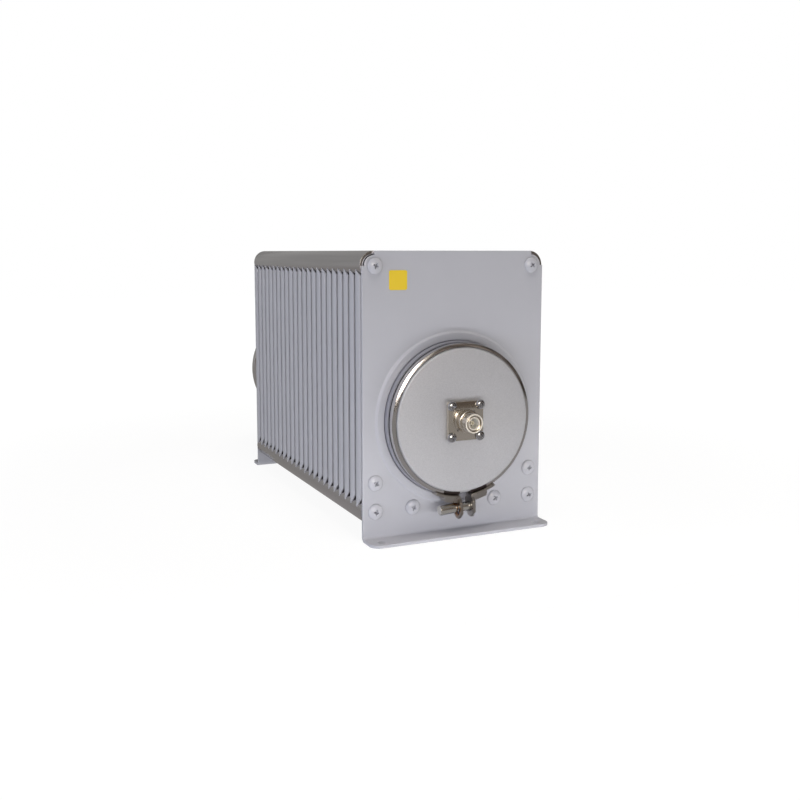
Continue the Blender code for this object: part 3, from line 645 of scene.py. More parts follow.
def film_mesh(name, place, half, corner):
    """A thin slab in front of the plate: rows of one rounded square, from its back round to its front."""
    core = 0.7 * half
    rows = []
    for y, inset in ((SEAT - FILM, core), (SEAT - FILM, 0.0), (-FILM, 0.0), (-1.6 * FILM, 0.6 * FILM),
                     (-1.6 * FILM, core)):
        outline = place + rounded_square(half - inset, max(corner - inset, 0.2 * MM))
        rows.append(np.stack([outline[:, 0], np.full(len(outline), FRONT_FACE + y), outline[:, 1]], axis=1))
    return mesh_from_grids(name, [(np.stack(rows), False, True)])


label_mesh = film_mesh("label_film", LABEL_PLACE, LABEL_HALF, LABEL_CORNER)
solid_piece("label_film", label_mesh, label_film, "grey_paint")
print("label field", 2 * LABEL_HALF / MM, "mm wide")

# %% [markdown]
# Four screws of each plate have no bar behind them. They turn in clinch nuts: hexagons that are pressed into
# the inner side of the sheet. Each is a turned profile with six sides.

# %% Make the clinch nuts
SIDE_SCREW_Z = 47.1 * MM
INNER_SCREW = (37.8 * MM, 24.1 * MM)
NUT_RADIUS = 5.6 * MM
NUT_HEIGHT = 3.2 * MM
NUT_BORE = 2.7 * MM
nut_places = [(side * BAR_X, SIDE_SCREW_Z) for side in (-1, 1)]
nut_places += [(side * INNER_SCREW[0], INNER_SCREW[1]) for side in (-1, 1)]


def clinch_nuts(name, face_y, way):
    """Four hexagon rings from the sheet's inner side inwards, in one mesh."""
    profile = softened([(face_y, NUT_BORE), (face_y, NUT_RADIUS), (face_y + way * NUT_HEIGHT, NUT_RADIUS),
                        (face_y + way * NUT_HEIGHT, NUT_BORE)], 0.3 * MM, steps=2)
    grids = [(turned(profile, centre=(x, 0.0, z), sides=6), True, True) for x, z in nut_places]
    return solid_piece(name, mesh_from_grids(name, grids), screw_steel, "grey_paint")


clinch_nuts("front_plate_nuts", FRONT_FACE + SHEET, 1)
clinch_nuts("rear_plate_nuts", REAR_FACE - SHEET, -1)
print("clinch nuts at heights", [round(z / MM, 1) for x, z in nut_places])

# %% [markdown]
# ## Fins
#
# A fin is a stamped web with both side edges bent forwards. Its corners are notched round the tie bars, and
# the free ends of its flanges are cut at a slant. The web is a sheet of rays again, and each flange is a grid
# from the web round the bend to its free edge, whose ends follow the notch and then the slant.

# %% Make the fins
FIN_SHEET = 1.2 * MM
FIN_HALF = fin_high.x
FIN_BEND = 2.5 * MM
FIN_REACH = fin_high.y - fin_low.y
FIN_TOP = fin_high.z
FIN_BOTTOM = fin_low.z
NOTCH_RADIUS = BAR_RADIUS + SEAT
SLANT_TOP = 7.4 * MM
SLANT_BOTTOM = 11.3 * MM
FIN_HOLE = 54.4 * MM
WEB_HALF = FIN_HALF - FIN_BEND
SIDE_STEPS = 9
EDGE_SPACING = 5 * MM
NUT_ROOM = 0.6 * MM


def notch_reach(x):
    """How far the notch reaches up or down from the bar's centre at a place across the fin."""
    return np.sqrt(NOTCH_RADIUS ** 2 - (x - BAR_X) ** 2)


def fin_outline():
    """The web's outline, counter-clockwise as seen from the front, from the lower end of its right edge."""
    edge_angle = math.degrees(math.atan2(notch_reach(WEB_HALF), WEB_HALF - BAR_X))
    top_angle = 180.0 - math.degrees(math.asin((FIN_TOP - BAR_HIGH_Z) / NOTCH_RADIUS))
    bottom_angle = 180.0 - math.degrees(math.asin((BAR_LOW_Z - FIN_BOTTOM) / NOTCH_RADIUS))
    low_end = BAR_LOW_Z + notch_reach(WEB_HALF)
    high_end = BAR_HIGH_Z - notch_reach(WEB_HALF)
    share = np.linspace(0.0, 1.0, SIDE_STEPS)
    edge = np.stack([np.full(SIDE_STEPS, WEB_HALF), low_end + share * (high_end - low_end)], axis=1)
    high_notch = arc_points((BAR_X, BAR_HIGH_Z), NOTCH_RADIUS, -edge_angle, top_angle - 360.0, 19)
    low_notch = arc_points((BAR_X, BAR_LOW_Z), NOTCH_RADIUS, 360.0 - bottom_angle, edge_angle, 19)
    right = np.concatenate([low_notch[:-1], edge, high_notch[1:]])
    left = right[::-1] * (-1, 1)
    top = side_points(right[-1], left[0], EDGE_SPACING)[1:]
    bottom = side_points(left[-1], right[0], EDGE_SPACING)[1:]
    return np.concatenate([right, top, left, bottom])


def flange_grid(side):
    """From the web's edge round the bend to the free edge: x and y follow a quarter circle, then y alone."""
    turn = np.linspace(0.0, np.pi / 2, 7)
    x = np.append(WEB_HALF + FIN_BEND * np.sin(turn), FIN_HALF)
    y = np.append(-FIN_BEND * (1.0 - np.cos(turn)), -FIN_REACH)
    low = BAR_LOW_Z + np.append(notch_reach(x[:-1]), SLANT_BOTTOM)
    high = BAR_HIGH_Z - np.append(notch_reach(x[:-1]), SLANT_TOP)
    share = np.linspace(0.0, 1.0, SIDE_STEPS)[::side]
    z = low[:, None] + (high - low)[:, None] * share
    x, y = (np.broadcast_to(values[:, None], z.shape) for values in (side * x, y))
    return np.stack([x, y, z], axis=-1)


fin_web = ring_sheet(fin_outline()[::-1], [(FIN_HOLE + EDGE_BAND, 0.0), (FIN_HOLE, 0.0)])
fin_grids = [(fin_web, False, True), (flange_grid(1), False, False), (flange_grid(-1), False, False)]
first_fin = solid_piece("fin_sheet_01", mesh_from_grids("fin", fin_grids, closed=False), grey_coat,
                        "grey_paint", ["fin_01"], edge=0.15 * MM, wall=FIN_SHEET)
fin_form = first_fin.data.copy()
first_fin.data.transform(Matrix.Translation((0.0, fin_high.y, 0.0)))


def nut_drills():
    """Cylinders that leave room in the last fin for the rear plate's nuts."""
    return [drill((x, last_fin_high.y, z), NUT_RADIUS + NUT_ROOM, 8 * FIN_SHEET, (math.pi / 2, 0.0, 0.0),
                  sides=32) for x, z in nut_places]


for number in range(2, FIN_COUNT + 1):
    placed = fin_form.copy()
    placed.transform(Matrix.Translation((0.0, fin_high.y + (number - 1) * FIN_PITCH, 0.0)))
    solid_piece("fin_sheet_%02d" % number, placed, grey_coat, "grey_paint", ["fin_%02d" % number],
                drills=nut_drills() if number == FIN_COUNT else ())
print(FIN_COUNT, "fins of", len(fin_form.polygons), "faces each")

# %% [markdown]
# ## Tie bars
#
# Four round bars in the corners hold the plates apart. They are sprayed with the silver lacquer. Their ends
# are recessed, so beside the cut corners of the plate they show as the edge of a tube.

# %% Make the tie bars
RECESS_RADIUS = 8.9 * MM
RECESS_DEPTH = 3.0 * MM
BAR_BORE = 2.7 * MM

bar_profile = [(bar_low.y, BAR_RADIUS), (bar_high.y, BAR_RADIUS), (bar_high.y, RECESS_RADIUS),
               (bar_high.y - RECESS_DEPTH, RECESS_RADIUS), (bar_high.y - RECESS_DEPTH, BAR_BORE),
               (bar_low.y + RECESS_DEPTH, BAR_BORE), (bar_low.y + RECESS_DEPTH, RECESS_RADIUS),
               (bar_low.y, RECESS_RADIUS)]
bar_places = [(side * BAR_X, z) for z in (BAR_HIGH_Z, BAR_LOW_Z) for side in (-1, 1)]
for number, (x, z) in enumerate(bar_places, 1):
    turned_piece("tie_bar_tube_%d" % number, bar_profile, bar_lacquer, "bar_paint", ["tie_bar_%d" % number],
                 cut=0.3 * MM, centre=(x, 0.0, z), sides=64)
print("tie bars", round((bar_high.y - bar_low.y) / MM, 1), "mm long")

# %% [markdown]
# ## Tank
#
# The tank is a tube with a ring at each end. A ring has a collar that fills the plate's hole and a bevelled
# rim for the clamp. Between the fins only strips of the tube show, and behind the rear plate the ring's
# sleeve stands free. A thin black ring lies on the front collar, round the neck: painted shade for the gap
# between the collar and the clamp. Each is turned.

# %% Make the tank
TANK_RADIUS = tank_high.x
TANK_BORE = 52.0 * MM
RING_BORE = TANK_RADIUS + SEAT
COLLAR_RADIUS = front_ring_high.x
NECK_RADIUS = 57.5 * MM
RIM_RADIUS = cover_high.x
RIM_WIDTH = 1.3 * MM
RIM_TAPER = 1.1 * MM
COLLAR_PROUD = 6.5 * MM
COLLAR_DEPTH = 2.0 * MM


def tank_ring(name, rim_y, collar_outer, collar_inner, node_name):
    """A ring from its rim to its collar's inner side: rim, bevel, neck, collar and bore."""
    way = math.copysign(1.0, collar_inner - rim_y)
    profile = [(rim_y, RING_BORE), (rim_y, RIM_RADIUS), (rim_y + way * RIM_WIDTH, RIM_RADIUS),
               (rim_y + way * (RIM_WIDTH + RIM_TAPER), NECK_RADIUS), (collar_outer, NECK_RADIUS),
               (collar_outer, COLLAR_RADIUS), (collar_inner, COLLAR_RADIUS), (collar_inner, RING_BORE)]
    return turned_piece(name, profile, shaded_tank_coat, "tank_paint", [node_name], cut=0.6 * MM, sides=128)


collar_front = FRONT_FACE - COLLAR_PROUD
# A thin black ring on the collar's front, round the neck: painted shade for the gap between the collar and
# the clamp.
shade_ring_front = collar_front - 0.7 * MM
shade_ring_back = collar_front - 0.1 * MM
shade_ring_inner = NECK_RADIUS + 0.1 * MM
shade_ring_outer = COLLAR_RADIUS - 1.1 * MM
shade_ring_profile = [(shade_ring_front, shade_ring_inner), (shade_ring_front, shade_ring_outer),
                (shade_ring_back, shade_ring_outer), (shade_ring_back, shade_ring_inner)]
turned_piece("shade_ring", shade_ring_profile, seal_rubber, "black_rubber", cut=0.15 * MM, sides=128)

tube_profile = [(tank_low.y, TANK_BORE), (tank_low.y, TANK_RADIUS), (tank_high.y, TANK_RADIUS),
                (tank_high.y, TANK_BORE)]
turned_piece("tank_tube", tube_profile, shaded_tank_coat, "tank_paint", ["tank"], cut=0.3 * MM, sides=128)
tank_ring("front_ring_of_tank", front_ring_low.y, collar_front, front_ring_high.y, "front_tank_ring")
tank_ring("rear_ring_of_tank", rear_ring_high.y, REAR_FACE + COLLAR_DEPTH, rear_ring_low.y, "rear_tank_ring")
print("tank", round((tank_high.y - tank_low.y) / MM, 1), "mm long")

# %% [markdown]
# ## Front cover
#
# The cover is a thick aluminium disc, faced on a lathe. Its edge is broken with a small chamfer that shines
# as a bright line all round, and its own rim lies against the tank's rim under the clamp.

# %% Make the front cover
COVER_BORE = 8.0 * MM
COVER_RADIUS = 58.7 * MM
COVER_EDGE = 0.9 * MM
COVER_BACK = cover_high.y - 6.0 * MM

cover_profile = [(cover_low.y, COVER_BORE), (cover_low.y, COVER_RADIUS - COVER_EDGE),
                 (cover_low.y + COVER_EDGE, COVER_RADIUS),
                 (COVER_BACK - RIM_WIDTH - RIM_TAPER / 2, COVER_RADIUS), (COVER_BACK - RIM_WIDTH, RIM_RADIUS),
                 (COVER_BACK, RIM_RADIUS), (COVER_BACK, TANK_BORE - SEAT), (cover_high.y, TANK_BORE - SEAT),
                 (cover_high.y, COVER_BORE)]
turned_piece("front_cover_disc", cover_profile, cover_metal, "cover_aluminium", ["front_cover"],
             cut=0.25 * MM, sides=160)
print("front cover", round(2 * COVER_RADIUS / MM, 1), "mm across its face")

# %% [markdown]
# ## Clamps
#
# A V-band is a strip of stainless steel with a V-shaped section. It wraps both rims and pulls them together
# when its bolt is tightened. Its section is a profile carried round the tank, open at the bottom. Next to the
# opening its ends are pieces of their own, drawn in a little and coloured dark and dull: painted shade for
# the deep shadow there.

# %% Make the V-bands
BAND_WALL = 1.4 * MM
BAND_INNER = RIM_RADIUS + SEAT
BAND_LIP = 59.1 * MM
BAND_OUTER = BAND_INNER + BAND_WALL
CLAMP_GAP = 9.0 * MM
CLAMP_TURN = math.radians(-2.9)
SHADED_END_ARC = math.radians(19.0)


def turned_clamp(points, joint_y):
    """Moves points of a clamp, made round the origin, to its joint, turned a little round the tank."""
    placing = Matrix.Translation((0.0, joint_y, AXIS_Z)) @ Matrix.Rotation(CLAMP_TURN, 4, "Y")
    placing = np.array(placing)
    return points @ placing[:3, :3].T + placing[:3, 3]


def band_section(stack):
    """The V as (y, radius) points: lip, crown, lip inside, and the same outside with a soft ridge."""
    crown = stack / 2 + RIM_WIDTH + SEAT
    lip = crown + 0.37 * (BAND_INNER - BAND_LIP)
    half = np.array([(lip, BAND_LIP), (crown, BAND_INNER)])
    outside = np.array([(crown + 0.7 * BAND_WALL, BAND_OUTER), (lip + BAND_WALL, BAND_LIP)])
    loop = np.concatenate([half, half[::-1] * (-1, 1), outside[::-1] * (-1, 1), outside])
    return softened(loop, 0.45 * MM)


def band_arc(name, joint_y, stack, start, end, sink=0.0):
    """The section carried round the tank from one angle to another, and drawn in by sink."""
    section = band_section(stack)
    steps = max(8, int(abs(end - start) / math.radians(2.4)))
    angle = np.linspace(start, end, steps)
    radius = section[:, 1, None] - sink
    points = np.stack([radius * np.cos(angle), np.broadcast_to(section[:, 0, None], (len(section), steps)),
                       radius * np.sin(angle)], axis=-1)
    return mesh_from_grids(name, [(turned_clamp(points, joint_y), True, False)])


# %% [markdown]
# Two straps are welded to the band at its opening. Each runs along the band, turns down in a round bend and
# is joined to a wide tab with chamfered lower corners. A short brace fills the corner behind the bend. The
# bolt goes through both tabs, and a long barrel nut takes it on the left.
#
# A strap is one outline, seen from the front, which is drawn along Y. A tab is an outline seen from the side,
# which is drawn along X.

# %% Make the straps and tabs
STRAP = 2.4 * MM
STRAP_HALF_WIDTH = 4.4 * MM
STRAP_ARC = math.radians(25.0)
BEND_OUTSIDE = 2.8 * MM
BRACE_ARC = math.radians(16.0)
BRACE_HEIGHT = 3.6 * MM
TAB_HALF_WIDTH = 7.2 * MM
TAB_CHAMFER = 5.0 * MM
TAB_DROP = 19.5 * MM
TAB_NECK = 3.0 * MM
BOLT_Z = -(BAND_OUTER + 10.5 * MM)
BOLT_RADIUS = 3.8 * MM
STRAP_SINK = 0.2 * MM
BRACE_FOOT = 1.0 * MM
HEEL = 1.2


def strap_outline():
    """The strap at +X of the gap as (x, z): inner arc, round bend, tab's root, brace and outer arc."""
    inner = BAND_OUTER - STRAP_SINK
    outer = inner + STRAP
    near = CLAMP_GAP / 2
    crease = math.asin((near + BEND_OUTSIDE) / inner)
    bend_z = -inner * math.cos(crease) - BEND_OUTSIDE
    root = bend_z - STRAP
    along = arc_points((0, 0), inner, -90 + math.degrees(STRAP_ARC), -90 + math.degrees(crease), 12)
    bend = arc_points((near + BEND_OUTSIDE, bend_z), BEND_OUTSIDE, 90.0, 180.0, 7)[1:]
    foot = np.array([(near, root), (near + STRAP, root), (near + STRAP, -outer - BRACE_HEIGHT)])
    brace_start = -90 + math.degrees(math.asin((near + STRAP + BRACE_FOOT) / outer))
    brace_end = -90 + math.degrees(BRACE_ARC)
    brace = arc_points((0, 0), outer + BRACE_HEIGHT, brace_start, brace_end, 8)
    heel = arc_points((0, 0), outer + BRACE_HEIGHT / 2, brace_end + HEEL, brace_end + HEEL, 1)
    back = arc_points((0, 0), outer, brace_end + HEEL, -90 + math.degrees(STRAP_ARC), 6)
    return np.concatenate([along, bend, foot, brace, heel, back])


def tab_outline():
    """A tab as (y, z), with chamfered lower corners."""
    top = -(BAND_OUTER + STRAP)
    bottom = -(BAND_OUTER + TAB_DROP)
    flat = TAB_HALF_WIDTH - TAB_CHAMFER
    corners = [(-STRAP_HALF_WIDTH, top), (STRAP_HALF_WIDTH, top), (TAB_HALF_WIDTH, top - TAB_NECK),
               (TAB_HALF_WIDTH, bottom + TAB_CHAMFER), (flat, bottom), (-flat, bottom),
               (-TAB_HALF_WIDTH, bottom + TAB_CHAMFER), (-TAB_HALF_WIDTH, top - TAB_NECK)]
    return softened(corners, 0.6 * MM)


def bolt_drill(joint_y):
    """A cylinder along X that cuts the bolt's hole through a tab."""
    place = turned_clamp(np.array([0.0, 0.0, BOLT_Z]), joint_y)
    return drill(place, BOLT_RADIUS + SEAT, 40 * MM, (0.0, math.pi / 2 + CLAMP_TURN, 0.0))


def clamp_piece(name, points, joint_y, finish, slot_name="clamp_steel", **how):
    """A piece of a clamp from one grid of points, which is turned to its joint."""
    mesh = mesh_from_grids(name, [(turned_clamp(points, joint_y), False, True)])
    return solid_piece(name, mesh, finish, slot_name, **how)


def make_strap(prefix, word, side, joint_y, finish):
    """A strap drawn along Y and its tab drawn along X, on one side of the gap."""
    outline = strap_outline() * (side, 1)
    rows = [np.stack([outline[:, 0], np.full(len(outline), y), outline[:, 1]], axis=1)
            for y in (-STRAP_HALF_WIDTH, STRAP_HALF_WIDTH)]
    clamp_piece("%s_%s_strap" % (prefix, word), np.stack(rows), joint_y, finish, edge=0.3 * MM)
    outline = tab_outline()
    near = CLAMP_GAP / 2 + 0.05 * MM
    rows = [np.stack([np.full(len(outline), side * x), outline[:, 0], outline[:, 1]], axis=1)
            for x in (near, near + STRAP)]
    clamp_piece("%s_%s_tab" % (prefix, word), np.stack(rows), joint_y, finish, edge=0.25 * MM,
                drills=[bolt_drill(joint_y)])


# %% Put the clamps together
END_PLAY = 0.8 * MM
SHADED_END_SINK = 0.35 * MM
SHADED_END_LAP = math.radians(0.3)
TAB_PLAY = 0.2 * MM
ROD_END = 1.5 * MM
NUT_LENGTH = 16.0 * MM


def make_clamp(prefix, joint_y, stack, nodes):
    """A band, its two ends in painted shade, its two straps with tabs, and the rod that joins them."""
    half_gap = math.asin((CLAMP_GAP / 2 + END_PLAY) / BAND_INNER)
    down = -np.pi / 2
    band_form = band_arc(prefix, joint_y, stack, down + SHADED_END_ARC, down + 2 * np.pi - SHADED_END_ARC)
    solid_piece(prefix + "_v_band", band_form, clamp_steel, "clamp_steel", nodes[:1])
    weld = turned_clamp(np.array([-(CLAMP_GAP / 2 + STRAP), 0.0, BOLT_Z]), joint_y)
    tinted = heat_tinted(prefix + "_heat_tinted_steel", tuple(weld), BOLT_RADIUS, 3 * BOLT_RADIUS)
    for side, word in ((-1, "left"), (1, "right")):
        turn = down if side == 1 else down + 2 * np.pi
        # Each end next to the opening is painted shade: a dark, dull copy of the band, drawn in a little.
        end_form = band_arc("%s_%s_end" % (prefix, word), joint_y, stack, turn + side * half_gap,
                            turn + side * (SHADED_END_ARC + SHADED_END_LAP), sink=SHADED_END_SINK)
        solid_piece("%s_%s_end" % (prefix, word), end_form, shaded_end_steel, "clamp_steel")
        make_strap(prefix, word, side, joint_y, tinted)
    tab_end = CLAMP_GAP / 2 + STRAP + TAB_PLAY
    rods = {"bolt_rod": (-tab_end, tab_end + ROD_END, BOLT_RADIUS),
            "barrel_nut": (-tab_end - NUT_LENGTH, -tab_end - SEAT, BOLT_RADIUS + 0.3 * MM)}
    for (word, (start, end, radius)), node_name in zip(rods.items(), nodes[1:]):
        profile = softened([(start, 0.0), (start, radius), (end, radius), (end, 0.0)],
                           [0, 1.2 * MM, 0.8 * MM, 0])
        points = turned(profile, centre=(0.0, 0.0, BOLT_Z), sides=48, axis=X_AXIS)
        clamp_piece("%s_%s" % (prefix, word), points, joint_y, rod_steel, "bright_steel",
                    stands_for=[node_name])


FRONT_JOINT = (COVER_BACK + tank_low.y) / 2
REAR_JOINT = (tank_high.y + dome_low.y) / 2
make_clamp("front_clamp", FRONT_JOINT, SEAT, ["front_clamp_band", "front_clamp_bolt", "front_clamp_nut"])
make_clamp("rear_clamp", REAR_JOINT, dome_low.y - tank_high.y,
           ["rear_clamp_band", "rear_clamp_bolt", "rear_clamp_nut"])
print("clamps at y =", round(FRONT_JOINT, 4), "and", round(REAR_JOINT, 4))

# %% [markdown]
# ## Screws
#
# The plate's screws have low truss heads, coated with the plate. The jack's screws have small polished pan
# heads. Both have a cross recess, which is where a polar grid of points over the head dips: the depth is
# greatest in the middle, and only points inside one of the two arms go down.

# %% Make the screw heads
def screw_head(radius, height, crown, arm_length, arm_width, depth):
    """A head over a disc: height(r) is a ball's cap over a low rounded edge, less the recess inside the arms.

    The recess is depth times (1 - distance along the arm / its length), faded over the arm's side wall.
    """
    r = radius * np.append(np.linspace(0.0, 0.92, 34), [0.96, 0.985, 1.0, 1.0])[:, None]
    angle = np.linspace(0.0, 2 * np.pi, 72, endpoint=False)[None, :]
    x, z = r * np.cos(angle), r * np.sin(angle)
    edge = np.clip(1.0 - (r / radius) ** 12, 0.0, 1.0) ** 0.5
    ball = (radius ** 2 + crown ** 2) / (2 * crown)
    top = (height - crown) * edge + np.sqrt(ball ** 2 - r ** 2) - (ball - crown)
    wall = 0.12 * arm_width
    arms = [np.clip((arm_width / 2 - np.abs(side)) / wall + 0.5, 0, 1)
            * np.clip(1.3 * (1.0 - np.abs(way) / arm_length), 0, 1) for way, side in ((x, z), (z, x))]
    top = top - depth * np.maximum(*arms)
    top[-1] = 0.0
    return np.stack([x, -top, z], axis=-1)


def screw_grids(head, shank):
    """The grids of one screw: its head, and the shaft behind it, which is (radius, length)."""
    radius, length = shank
    rim = np.hypot(*head[-1, 0, ::2])
    profile = [(0.0, rim), (0.0, radius), (length, radius), (length, 0.0)]
    return [head, turned(profile, centre=(0.0, 0.0, 0.0), sides=72)]


def make_screws(prefix, places, face_y, head, shank, finish, slot_name, turns):
    """Screws along Y at (x, z) places, each standing for a node, with its recess turned its own way."""
    for number, ((x, z), turn) in enumerate(zip(places, turns), 1):
        node_name = "%s_%d" % (prefix, number)
        mesh = mesh_from_grids(node_name, [(grid, False, True) for grid in screw_grids(head, shank)])
        mesh.transform(Matrix.Translation((x, face_y, z)) @ Matrix.Rotation(turn, 4, "Y"))
        solid_piece("%s_head_%d" % (prefix, number), mesh, finish, slot_name, [node_name])


PLATE_SHANK = (2.4 * MM, 5.6 * MM)
screw_places = bar_places + nut_places
truss_head = screw_head(6.4 * MM, 2.9 * MM, 2.1 * MM, 2.5 * MM, 1.15 * MM, 3.0 * MM)
screw_turns = [0.35, 0.9, 0.2, 1.2, 0.6, 0.1, 0.45, 1.0]
make_screws("front_plate_screw", screw_places, FRONT_FACE - SEAT, truss_head, PLATE_SHANK, screw_coat,
            "grey_paint", screw_turns)

# %% The rear plate's screws, in one piece
def rear_screws():
    """Eight heads on the rear plate, joined in one mesh: front heads turned half round the object."""
    grids = []
    for (x, z), turn in zip(screw_places, screw_turns):
        placing = np.array(Matrix.Translation((-x, REAR_FACE + SEAT, z)) @ Matrix.Rotation(math.pi, 4, "Z")
                           @ Matrix.Rotation(turn, 4, "Y"))
        grids += [(grid @ placing[:3, :3].T + placing[:3, 3], False, True)
                  for grid in screw_grids(truss_head, PLATE_SHANK)]
    return mesh_from_grids("rear_plate_screws", grids)


solid_piece("rear_plate_screws", rear_screws(), screw_coat, "grey_paint")

# %% [markdown]
# ## Jack
#
# The type N jack is nickel-plated brass: a square flange held by four screws, and a barrel with a 5/8 inch
# thread of 24 turns to the inch. The thread is one grid: along the barrel the radius rises and falls with
# the pitch, and a full turn round it shifts that wave by one pitch.
#
# The mouth has a thin lip, a groove and an inner collar round the bore. Both edges have a ring of their own
# in a paler nickel, which lies a hair above the barrel: a painted highlight.

# %% Make the jack
FLANGE_HALF = jack_high.x
FLANGE_THICK = 3.0 * MM
FLANGE_FACE = cover_low.y - SEAT - FLANGE_THICK
MOUTH = jack_low.y
THREAD_RADIUS = 7.94 * MM
THREAD_PITCH = 25.4 / 24 * MM
THREAD_DEPTH = 0.30 * MM
BOSS_FOOT = 9.9 * MM
BOSS_RADIUS = 9.1 * MM
BOSS_LENGTH = 6.4 * MM
FLARE_LENGTH = 0.8 * MM
RELIEF_RADIUS = 7.4 * MM
LEAD_RADIUS = 7.7 * MM
LEAD_LENGTH = 1.2 * MM
LIP = 1.1 * MM
GROOVE_DEPTH = 2.4 * MM
COLLAR_SET = 0.8 * MM
COLLAR_EDGE = 0.5 * MM
HIGHLIGHT_RING_LIFT = 0.03 * MM
BARREL_BORE = 4.2 * MM
BORE_DEPTH = 9.2 * MM
LINE_RADIUS = 3.6 * MM
LINE_DEPTH = 5.0 * MM
BODY_BORE = 7.6 * MM
RELIEF_LENGTH = 1.2 * MM
LIP_CENTRE = (MOUTH + LIP / 2, LEAD_RADIUS - LIP / 2)
COLLAR_CENTRE = (MOUTH + COLLAR_SET + COLLAR_EDGE, BARREL_BORE + COLLAR_EDGE)


def thread_grid(start, end, sides=96, per_pitch=8):
    """r = outside - depth * (0.5 + 0.5 cos(2 pi (s / pitch - a / 2 pi))), faded out at both ends."""
    rows = int((end - start) / THREAD_PITCH * per_pitch)
    s = np.linspace(start, end, rows)[:, None]
    angle = np.linspace(0.0, 2 * np.pi, sides, endpoint=False)[None, :]
    wave = 0.5 + 0.5 * np.cos(2 * np.pi * (s / THREAD_PITCH) - angle)
    fade = np.clip(np.minimum(s - start, end - s) / (0.7 * THREAD_PITCH), 0.0, 1.0)
    radius = THREAD_RADIUS - THREAD_DEPTH * (1.0 - fade * (1.0 - wave))
    return np.stack([radius * np.cos(angle), s + 0.0 * angle, AXIS_Z + radius * np.sin(angle)], axis=-1)


def barrel_profiles():
    """The barrel before and after its thread, as open profiles that meet the thread's ends."""
    root = THREAD_RADIUS - THREAD_DEPTH
    thread_start = MOUTH + LEAD_LENGTH
    thread_end = FLANGE_FACE - BOSS_LENGTH - RELIEF_LENGTH
    line_end = cover_low.y + LINE_DEPTH
    lip = arc_points(LIP_CENTRE, LIP / 2, 90.0, 270.0, 11)
    collar = arc_points(COLLAR_CENTRE, COLLAR_EDGE, 90.0, 270.0, 11)
    mouth = [(thread_start, root), (thread_start - 0.15 * MM, LEAD_RADIUS), *lip,
             (MOUTH + GROOVE_DEPTH, LEAD_RADIUS - LIP), (MOUTH + GROOVE_DEPTH, BARREL_BORE + 2 * COLLAR_EDGE),
             *collar, (MOUTH + BORE_DEPTH, BARREL_BORE), (MOUTH + BORE_DEPTH, LINE_RADIUS),
             (line_end, LINE_RADIUS), (line_end, BODY_BORE), (FLANGE_FACE + SEAT, BODY_BORE)]
    boss = [(FLANGE_FACE - FLARE_LENGTH * (1 - s), BOSS_RADIUS + (BOSS_FOOT - BOSS_RADIUS) * s ** 2)
            for s in np.linspace(0.0, 1.0, 7)[1:]]
    shoulder = FLANGE_FACE - BOSS_LENGTH
    base = [(thread_end, root), (thread_end + 0.2 * MM, RELIEF_RADIUS), (shoulder - 0.3 * MM, RELIEF_RADIUS),
            (shoulder - 0.2 * MM, BOSS_RADIUS - 0.5 * MM), (shoulder, BOSS_RADIUS - 0.15 * MM),
            (shoulder + 0.3 * MM, BOSS_RADIUS), (FLANGE_FACE - FLARE_LENGTH, BOSS_RADIUS), *boss,
            (FLANGE_FACE + SEAT, BOSS_FOOT), (FLANGE_FACE + SEAT, BODY_BORE)]
    return thread_start, thread_end, mouth, base


def flange_mesh():
    """A square plate with broken edges: its outline is drawn in by 0.4 mm on the front row of the grid."""
    rows = []
    flange_back = FLANGE_FACE + FLANGE_THICK
    for y, inset in ((FLANGE_FACE, 8 * MM), (FLANGE_FACE, 0.4 * MM), (FLANGE_FACE + 0.12 * MM, 0.12 * MM),
                     (FLANGE_FACE + 0.4 * MM, 0.0), (flange_back, 0.0), (flange_back, 8 * MM)):
        outline = rounded_square(FLANGE_HALF - inset, max(3.0 * MM - inset, 0.3 * MM))
        rows.append(np.stack([outline[:, 0], np.full(len(outline), y), AXIS_Z + outline[:, 1]], axis=1))
    return mesh_from_grids("jack_flange", [(np.stack(rows), True, True)])


thread_start, thread_end, mouth_profile, base_profile = barrel_profiles()
barrel_mesh = mesh_from_grids("jack_barrel", [(thread_grid(thread_start, thread_end), False, True),
                                              (turned(mouth_profile), False, True),
                                              (turned(base_profile), False, True)])
solid_piece("jack_barrel", barrel_mesh, jack_nickel, "nickel_plate", ["jack_body"])
solid_piece("jack_flange", flange_mesh(), jack_nickel, "nickel_plate", sharp=40.0)
# The two edge rings are painted highlight: a paler, half-dull copy of the nickel.
for name, centre, radius in (("jack_lip", LIP_CENTRE, LIP / 2),
                             ("jack_collar_edge", COLLAR_CENTRE, COLLAR_EDGE)):
    edge_ring = arc_points(centre, radius + HIGHLIGHT_RING_LIFT, 0.0, 350.0, 24)
    turned_piece(name, edge_ring, lip_highlight_nickel, "nickel_plate", sides=96)
print("jack's mouth at y =", round(MOUTH, 4))

# %% [markdown]
# The bore is plated with silver, and in its middle stands the contact: a thin gold-plated tube that takes
# the plug's pin. Four small screws hold the flange, 25.4 mm apart.

# %% Line the bore and set the contact and screws
LINER = 0.15 * MM
LINER_START = MOUTH + 2.4 * MM
LINER_END = MOUTH + 9.0 * MM
liner_profile = [(LINER_START, BARREL_BORE), (LINER_START, BARREL_BORE - LINER),
                 (LINER_END, BARREL_BORE - LINER), (LINER_END, BARREL_BORE)]
turned_piece("bore_liner", liner_profile, bore_silver, "nickel_plate", sides=64)

TIP = MOUTH + 3.4 * MM
PIN_DEPTH = 3.0 * MM
PIN_RADIUS = 0.9 * MM
CONTACT_RADIUS = 1.5 * MM
contact_profile = [(TIP + PIN_DEPTH, 0.0), (TIP + PIN_DEPTH, PIN_RADIUS), (TIP, PIN_RADIUS),
                   (TIP, CONTACT_RADIUS), (cover_high.y, CONTACT_RADIUS), (cover_high.y, 0.0)]
turned_piece("contact_socket", contact_profile, contact_gold, "gold_plate", ["centre_contact"],
             closed_profile=False, sides=48)

